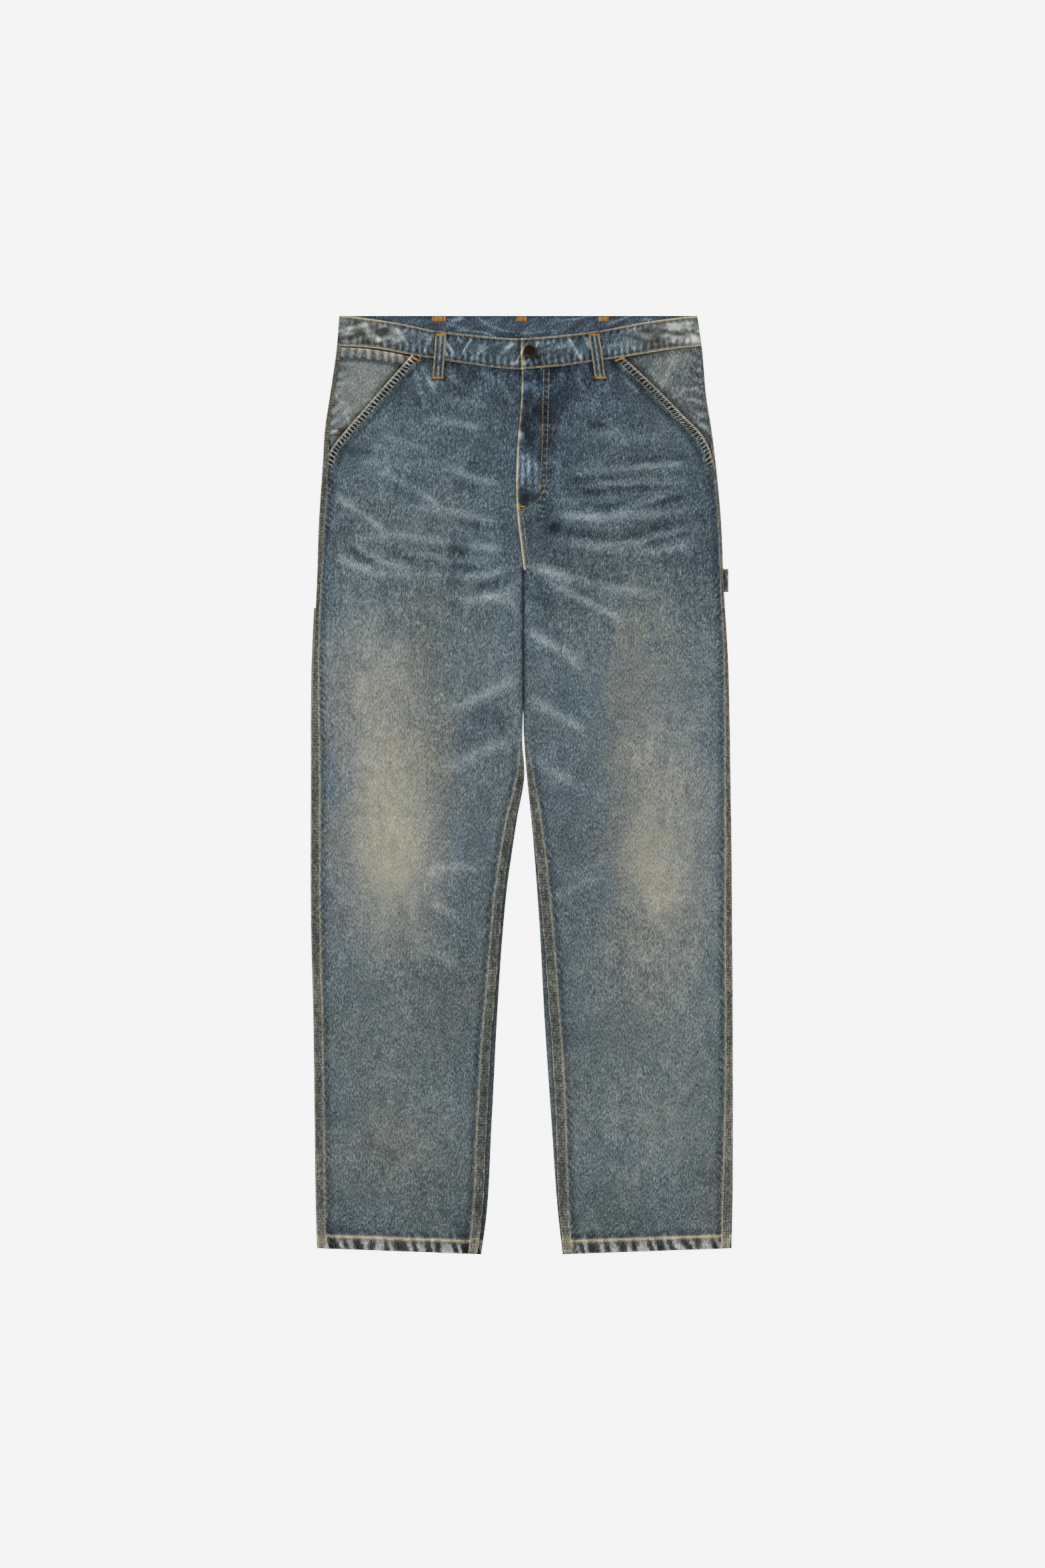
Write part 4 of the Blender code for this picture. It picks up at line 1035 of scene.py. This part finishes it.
def thread(name, dark, mid, pale):
    """Twisted thread: each stitch has its own wear, and fine noise breaks it up."""
    made, tree, shader = new_material(name)
    place = add(tree, "TexCoord").outputs["Object"]
    fuzz = add(tree, "TexNoise", None, {"Vector": place, "Scale": 1400.0, "Detail": 2.0})
    value = reckon(tree, "MULTIPLY_ADD", fuzz.outputs["Fac"], 0.5, painted(tree, "worn"))
    colour = ramp(tree, value, (0.1, dark), (0.5, mid), (1.0, pale))
    twist = add(tree, "TexWave", None, {"Vector": place, "Scale": 900.0})
    bump = add(tree, "Bump", None, {"Strength": 0.4, "Distance": 0.0002, "Height": twist.outputs["Fac"]})
    feed(tree, shader, {"Base Color": colour, "Normal": bump.outputs[0]})
    feed(tree, shader, {"Roughness": 0.7, "Specular IOR Level": 0.3})
    return made


golden_thread = thread("golden thread", "#5f4b34", "#937c57", "#c6b48c")
olive_thread = thread("olive thread", "#2a261e", "#534935", "#9d9070")
tack_thread = thread("tack thread", "#6b4a24", "#ab7934", "#cfa35c")


def sewn(path, pitch=3.0, fill=0.82):
    """The two ends of each stitch on a path of points: a stitch every pitch along its length."""
    steps = np.linalg.norm(np.diff(path, axis=0), axis=1)
    at = np.concatenate([[0], np.cumsum(steps)])
    first = np.arange(0.3, at[-1] - pitch * fill, pitch)
    ends = [[np.interp(first + ahead, at, path[:, k]) for k in range(3)] for ahead in (0, pitch * fill)]
    return np.moveaxis(np.array(ends), 2, 0)


def stitch_piece(name, rows, finish, seed, thick=0.46, facing_up=True):
    """All the stitches of rows, each a little four-sided bar whose ends taper and sink into the cloth."""
    ends = np.concatenate(rows)
    start, end = ends[:, 0], ends[:, 1]
    run = end - start
    side = np.cross(run, [0, 0, 1.0])
    side = side / np.linalg.norm(side, axis=1, keepdims=True)
    up = np.array([0, 0, 1.0 if facing_up else -1.0])
    share = np.array([0.0, 0.2, 0.8, 1.0])
    size = thick * np.array([0.4, 1, 1, 0.4])
    sink = np.array([-0.3, 0.0, 0.0, -0.3])
    middle = start[:, None] + run[:, None] * share[:, None] + up * (sink[:, None] + 0.12)
    corners = np.array([(1, 0), (0, 0.9), (-1, 0), (0, -0.9)])
    across, high = ((size[:, None] * corners[:, k])[..., None] for k in (0, 1))
    points = middle[:, :, None] + side[:, None, None] * across + up * high
    ring, after = np.arange(4), np.roll(np.arange(4), -1)
    one = [np.stack([ring, after, after + 4, ring + 4], -1) + 4 * k for k in range(3)]
    one = np.concatenate([*one, [ring[::-1], ring + 12]])
    if facing_up:
        one = one[:, ::-1]
    faces = (np.arange(len(ends))[:, None, None] * 16 + one).reshape(-1, 4)
    worn = np.random.default_rng(seed).uniform(0.0, 0.55, len(ends))
    drift = 0.15 * lumps(start[:, 0], start[:, 1], 30, seed)
    piece = mesh_piece(name, points.reshape(-1, 3), faces, finish, {"worn": np.repeat(worn + drift, 16)})
    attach(piece, "root")


def on_front_panel(x, down, side):
    """A path laid on the front panel, at a small height over it."""
    x, down = np.broadcast_arrays(np.asarray(x, float), np.asarray(down, float))
    return stack(x, down, front_top(x, down, side)[0] + 0.05)


def slant_path(side, inset):
    """A line inside the slanted edge and parallel to it, from the waistband to the side seam."""
    down = np.linspace(48.0, POCKET_END - 2, 80)
    slope = slant_slope(down, side)
    steep = np.sqrt(1 + slope**2)
    x = read(SLANTS[side], "x", down) - side * inset / steep
    down = down + side * inset * slope / steep
    keep = (down > waist_seam(x) + 0.8) & (down < POCKET_END)
    return on_front_panel(x[keep], down[keep], side)


# How far above its edge a hem is sewn
HEM_ROW = 12.8
golden, olive, tacks, under = [], [], [], []
for side in (RIGHT, LEFT):
    golden += [sewn(slant_path(side, inset)) for inset in (2.0, 8.4)]
    x = np.linspace(LEGS[side]["outer"][-1] - side * 1.5, side * 49, 120)
    golden.append(sewn(on_front_panel(x, hem_bottom(x, side) - HEM_ROW, side)))
    for kind, first in (("outseam", 37.0), ("inseam", 520.0)):
        down = np.arange(first, LENGTH - 1.5, 6.0)
        start, width = strip_place(kind, side, down)
        for share in (0.14, 0.5, 0.86):
            # down to the thigh, only the last row of the left side seam shows
            hidden = kind == "outseam" and side == LEFT and share != 0.86
            shown = down > (350 if hidden else 0)
            x = (start + width * share)[shown]
            at = np.minimum(depth(x, down[shown], side), hem_bottom(x, side) - 1.0)
            olive.append(sewn(stack(x, at, strip_height(kind, side, at) + 0.05), 2.9, 0.8))

# the fly's two rows, which turn at its foot, and the seam under it
down = np.linspace(62.5, 186, 50)
turn = np.radians(np.linspace(0, 90, 14))
x = np.concatenate([read(FLY_STITCHES, "outer", down), -5.0 + 33.4 * np.cos(turn)])
at = np.concatenate([down, 186 + 38.5 * np.sin(turn)])
golden.append(sewn(on_front_panel(x, at, LEFT)))
down = np.linspace(62.5, 205, 50)
golden.append(sewn(on_front_panel(read(FLY_STITCHES, "inner", down), down, LEFT)))
down = np.linspace(FLY_END - 5, CROTCH - 1, 24)
for inset in (1.8, 6.4):
    golden.append(sewn(on_front_panel(read(FLY_EDGE, "x", down) + inset, down, LEFT)))

# the coin pocket's turned top edge and its bottom
for below in (3.6, 10.2):
    x = np.linspace(-208, -132 if below < 5 else -140, 60)
    at = waist_seam(x) + below
    keep = inside_slant(x, at, RIGHT) < -1
    golden.append(sewn(stack(x, at, LAYER + FLUSH + LAYER + 1.0)[keep]))
for row in (COIN_END - 7.6, COIN_END - 1.4):
    x = np.linspace(-226, -190, 30)
    at = row + 0 * x
    keep = (inside_slant(x, at, RIGHT) < -1) & (x > read(RIGHT_LEG, "outer", at) + 9)
    golden.append(sewn(stack(x, at, LAYER + FLUSH + LAYER + 0.35)[keep]))

# the waistband's two rows, on its front and on its back
for share, edge in ((0.0, 2.0), (1.0, -2.0)):
    for lap, x in ((False, np.arange(-204.0, -3, 1.5)), (True, np.arange(0.5, 201, 1.5))):
        at = read(FRONT_BAND, "seam" if share else "top", x, "x") + edge
        high = band_top(x) + (lap_rise(x) if lap else 0)
        golden.append(sewn(stack(x, at, high + 0.15)))
    x = np.arange(-203.0, 200, 3.0)
    under.append(sewn(stack(x, share * BAND_HEIGHT + edge + 0 * x, LAYER - 0.45)))
x, down = np.full(22, BAND_END + 2.0), np.linspace(28.5, 59, 22)
golden.append(sewn(stack(x, down, band_top(x) + lap_rise(x) + 0.15)))

# the belt loops' sides and the tacks at their ends
for x1, down1, x2, down2 in zip(*FRONT_LOOPS.values()):
    loop = bpy.data.objects["loop_on_front_" + ("right" if x1 < 0 else "left")]
    corners = np.zeros(len(loop.data.vertices) * 3)
    loop.data.vertices.foreach_get("co", corners)
    tops = corners[: corners.size // 2].reshape(LOOP_ROWS, len(LOOP_COLUMNS), 3) * 1000
    tops[..., 1] = LENGTH / 2 - tops[..., 1]
    for column in (2, 6):
        golden.append(sewn(tops[2:-2, column] + (0, 0, 0.05)))
    for row in (1, -2):
        across = np.linspace(tops[row, 0], tops[row, -1], 16) + (0, 0, 0.65)
        tacks.append(np.stack([across + (0, -1.4, 0), across + (0.3, 1.4, 0)], 1))


def tack(x, down, angle, length, height, width=2.4):
    """A dense bar of thread: short stitches side by side, along a line at an angle."""
    t = np.linspace(-0.5, 0.5, int(length / 0.75)) * length
    a = math.radians(angle)
    middle = stack(x + t * math.cos(a), down + t * math.sin(a), height)
    half = np.array([-math.sin(a), math.cos(a), 0.0]) * width / 2
    return np.stack([middle - half, middle + half], 1)


def tack_on_front(x, down, angle, length, side, width=2.4):
    """A bar of thread on the front panel."""
    height = float(front_top(np.array([float(x)]), np.array([float(down)]), side)[0].max())
    return tack(x, down, angle, length, height + 0.3, width)


tacks += [
    tack_on_front(-122.5, 50.6, 20, 11, RIGHT),
    tack_on_front(113.0, 50.6, -20, 11, LEFT),
    tack_on_front(-226.0, 176.0, 75, 9, RIGHT),
    tack_on_front(222.5, 172.0, -75, 6, LEFT),
    tack_on_front(20.8, 197.5, 90, 6, LEFT, 1.8),
    tack_on_front(-3.2, 221.0, 90, 7, LEFT),
    tack_on_front(0.6, 220.6, 0, 6, LEFT, 1.8),
]
for x, width in zip(BACK_LOOPS.values(), (15, 11, 11)):
    tacks.append(tack(x, 3.8, 0, width, LAYER + BAND + 0.55, 6.0))
x = np.linspace(14, 40, 24)
tacks.append(sewn(stack(x, waist_seam(x) - 1.2, band_top(x) + lap_rise(x) + 0.25), 2.4))

# the back's pockets, loops and hems
for side in (RIGHT, LEFT):
    rows = BACK_POCKETS[side]
    for inset in (1.8, 7.6):
        left, right, down = rows["left"] + inset, rows["right"] - inset, rows["down"]
        x = np.array([*left, (left[-1] + right[-1]) / 2, *right[::-1]])
        at = np.array([*down, down[-1] + rows["point"][-1], *down[::-1]]) - inset
        under.append(sewn(stack(x, np.maximum(at, down[0]), 0.05)))
        under.append(sewn(stack(np.array([left[0], right[0]]), down[0] + inset + 6, 0.05)))
    x = np.linspace(LEGS[side]["outer"][-1] - side * 4, side * 51, 60)
    under.append(sewn(stack(x, hem_bottom(x, side) - HEM_ROW, 0.0)))
for inset in (2.0, 8.0):
    left, right, down = TOOL_POCKET["left"] + inset, TOOL_POCKET["right"] - inset, TOOL_POCKET["down"]
    x = np.array([left[0], left[-1], right[-1], right[0]])
    low = down[-1] - inset
    under.append(sewn(stack(x, np.array([down[0], low, low, down[0]]), 0.05)))
    under.append(sewn(stack(np.array([left[0], right[0]]), down[0] + inset + 4, 0.05)))
for down in HAMMER_LOOP["down"] + (2.5, -2.5):
    under.append(sewn(stack(np.array([122.0, 237.5]), down, 0.05)))
for x in BACK_LOOPS.values():
    for shift in (-3.8, 3.8):
        under.append(sewn(stack(np.array([x + shift, x + shift]), np.array([3.0, 54.0]), 0.05)))

stitch_piece("golden_stitches", golden, golden_thread, 101)
stitch_piece("seam_stitches", olive, olive_thread, 102, 0.42)
stitch_piece("thread_tacks", tacks, tack_thread, 103, 0.42)
stitch_piece("stitches_on_the_back", under, golden_thread, 104, facing_up=False)

# The button
# A hollow metal cap on a shank, pushed through the buttonhole, burnished almost black and worn brown along
# its rim. It sits tipped a little on the waistband's end.
BUTTON_X, BUTTON_DOWN, BUTTON_TILT = 11.4, 41.9, 22.0


def burnished_metal():
    """Dark metal whose colour browns with wear on the rim, with small scuffs."""
    made, tree, shader = new_material("burnished metal")
    place = add(tree, "TexCoord").outputs["Object"]
    scuffs = add(tree, "TexNoise", None, {"Vector": place, "Scale": 900.0, "Detail": 4.0}).outputs["Fac"]
    value = reckon(tree, "MULTIPLY_ADD", scuffs, 0.5, painted(tree, "rim"))
    colour = ramp(tree, value, (0.15, "#191410"), (0.5, "#2f261e"), (1.0, "#463829"))
    rough = add(tree, "MapRange", None, {0: scuffs, 3: 0.28, 4: 0.55}).outputs[0]
    bump = add(tree, "Bump", None, {"Strength": 0.2, "Distance": 0.0002, "Height": scuffs}).outputs[0]
    feed(tree, shader, {"Base Color": colour, "Roughness": rough, "Normal": bump, "Metallic": 0.85})
    return made


def button(name, node):
    """A profile turned about the shank's line, then tipped."""
    profile = table(
        "radius height rim",
        (0.0, 0.0, 0), (3.0, 0.0, 0), (3.2, 0.3, 0), (3.2, 3.2, 0), (3.4, 3.4, 0),
        (7.4, 3.6, 0.1), (8.2, 3.9, 0.3), (8.5, 4.4, 0.6), (8.5, 4.8, 0.7), (8.2, 5.4, 0.7),
        (7.6, 5.85, 0.6), (6.9, 6.05, 0.4), (6.3, 5.98, 0.15), (5.9, 5.75, 0.0), (5.3, 5.55, 0.0),
        (3.5, 5.5, 0.0), (1.6, 5.5, 0.0), (0.0, 5.5, 0.0),
    )
    turn = np.radians(np.arange(0, 360, 5.0))
    rings = profile["radius"][:, None, None] * np.stack([np.cos(turn), np.sin(turn)], -1)
    height = np.broadcast_to(profile["height"][:, None], rings.shape[:2])
    tilt = math.radians(BUTTON_TILT)
    x = rings[..., 0] * math.cos(tilt) - height * math.sin(tilt)
    z = rings[..., 0] * math.sin(tilt) + height * math.cos(tilt)
    base = LAYER + 3 * BAND + 4 * GAP + 3.2 * math.sin(tilt)
    points = stack(BUTTON_X + x, BUTTON_DOWN - rings[..., 1], base + z)[1:-1]
    count = len(turn)
    faces = grid_faces(len(points), count + 1)
    row, column = faces // (count + 1), faces % (count + 1) % count
    faces = (row * count + column)[:, ::-1]
    ends = np.array([points[0].mean(0), points[-1].mean(0)])
    last = len(points) * count
    ring, after = np.arange(count), np.roll(np.arange(count), -1)
    foot = np.stack([ring, after, np.full(count, last)], -1)
    top = np.stack([after, ring], -1) + (len(points) - 1) * count
    top = np.concatenate([top, np.full((count, 1), last + 1)], 1)
    everything = [*faces.tolist(), *foot[:, ::-1].tolist(), *top[:, ::-1].tolist()]
    rim = np.concatenate([np.repeat(profile["rim"][1:-1], count), [0, 0]])
    points = np.concatenate([points.reshape(-1, 3), ends])
    piece = mesh_piece(name, points, np.array(everything, dtype=object), burnished_metal(), {"rim": rim})
    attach(piece, "root")
    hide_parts(node)
    return piece


button("metal_button", "button")

# The floor, the light and the camera
# A pale floor a hair below the cloth that the camera sees fully lit, even light from all round with one soft
# lamp from the upper left, and a long lens straight above the pants.
FLOOR = "#f2f2f2"
FLOOR_GLOW = 6.3


def floor():
    """One large face that glows only for what the camera sees directly, so it lights nothing."""
    made, tree, shader = new_material("pale floor")
    glow = reckon(tree, "MULTIPLY", add(tree, "LightPath").outputs["Is Camera Ray"], FLOOR_GLOW)
    feed(tree, shader, {"Base Color": linear(FLOOR), "Roughness": 1.0, "Specular IOR Level": 0.0})
    feed(tree, shader, {"Emission Color": linear("#ffffff"), "Emission Strength": glow})
    corners = stack(np.array([-4000, 4000, 4000, -4000]), np.array([4500, 4500, -3500, -3500]), -0.6)
    piece = mesh_piece("pale_floor", corners, np.array([(0, 1, 2, 3)]), made, {})


floor()

world = bpy.context.scene.world or bpy.data.worlds.new("studio")
bpy.context.scene.world = world
world.use_nodes = True
feed(world.node_tree, world.node_tree.nodes["Background"], {"Color": (1.0, 1.0, 1.0, 1.0), "Strength": 0.86})

lamp = bpy.data.lights.new("soft lamp", "SUN")
lamp.energy = 1.87
lamp.angle = math.radians(24)
lamp_stand = bpy.data.objects.new("soft lamp", lamp)
lamp_stand.rotation_euler = (math.radians(-42), math.radians(-28), 0)
bpy.context.scene.collection.objects.link(lamp_stand)

# How much height the picture shows, in metres
SEEN_HEIGHT = 1.811
camera = bpy.data.cameras.new("camera")
camera.lens = 120
camera.sensor_width = 36
camera_stand = bpy.data.objects.new("camera", camera)
camera_stand.location = (0.0008, 0.0012, SEEN_HEIGHT * camera.lens / camera.sensor_width)
camera.clip_end = 100
bpy.context.scene.collection.objects.link(camera_stand)
bpy.context.scene.camera = camera_stand
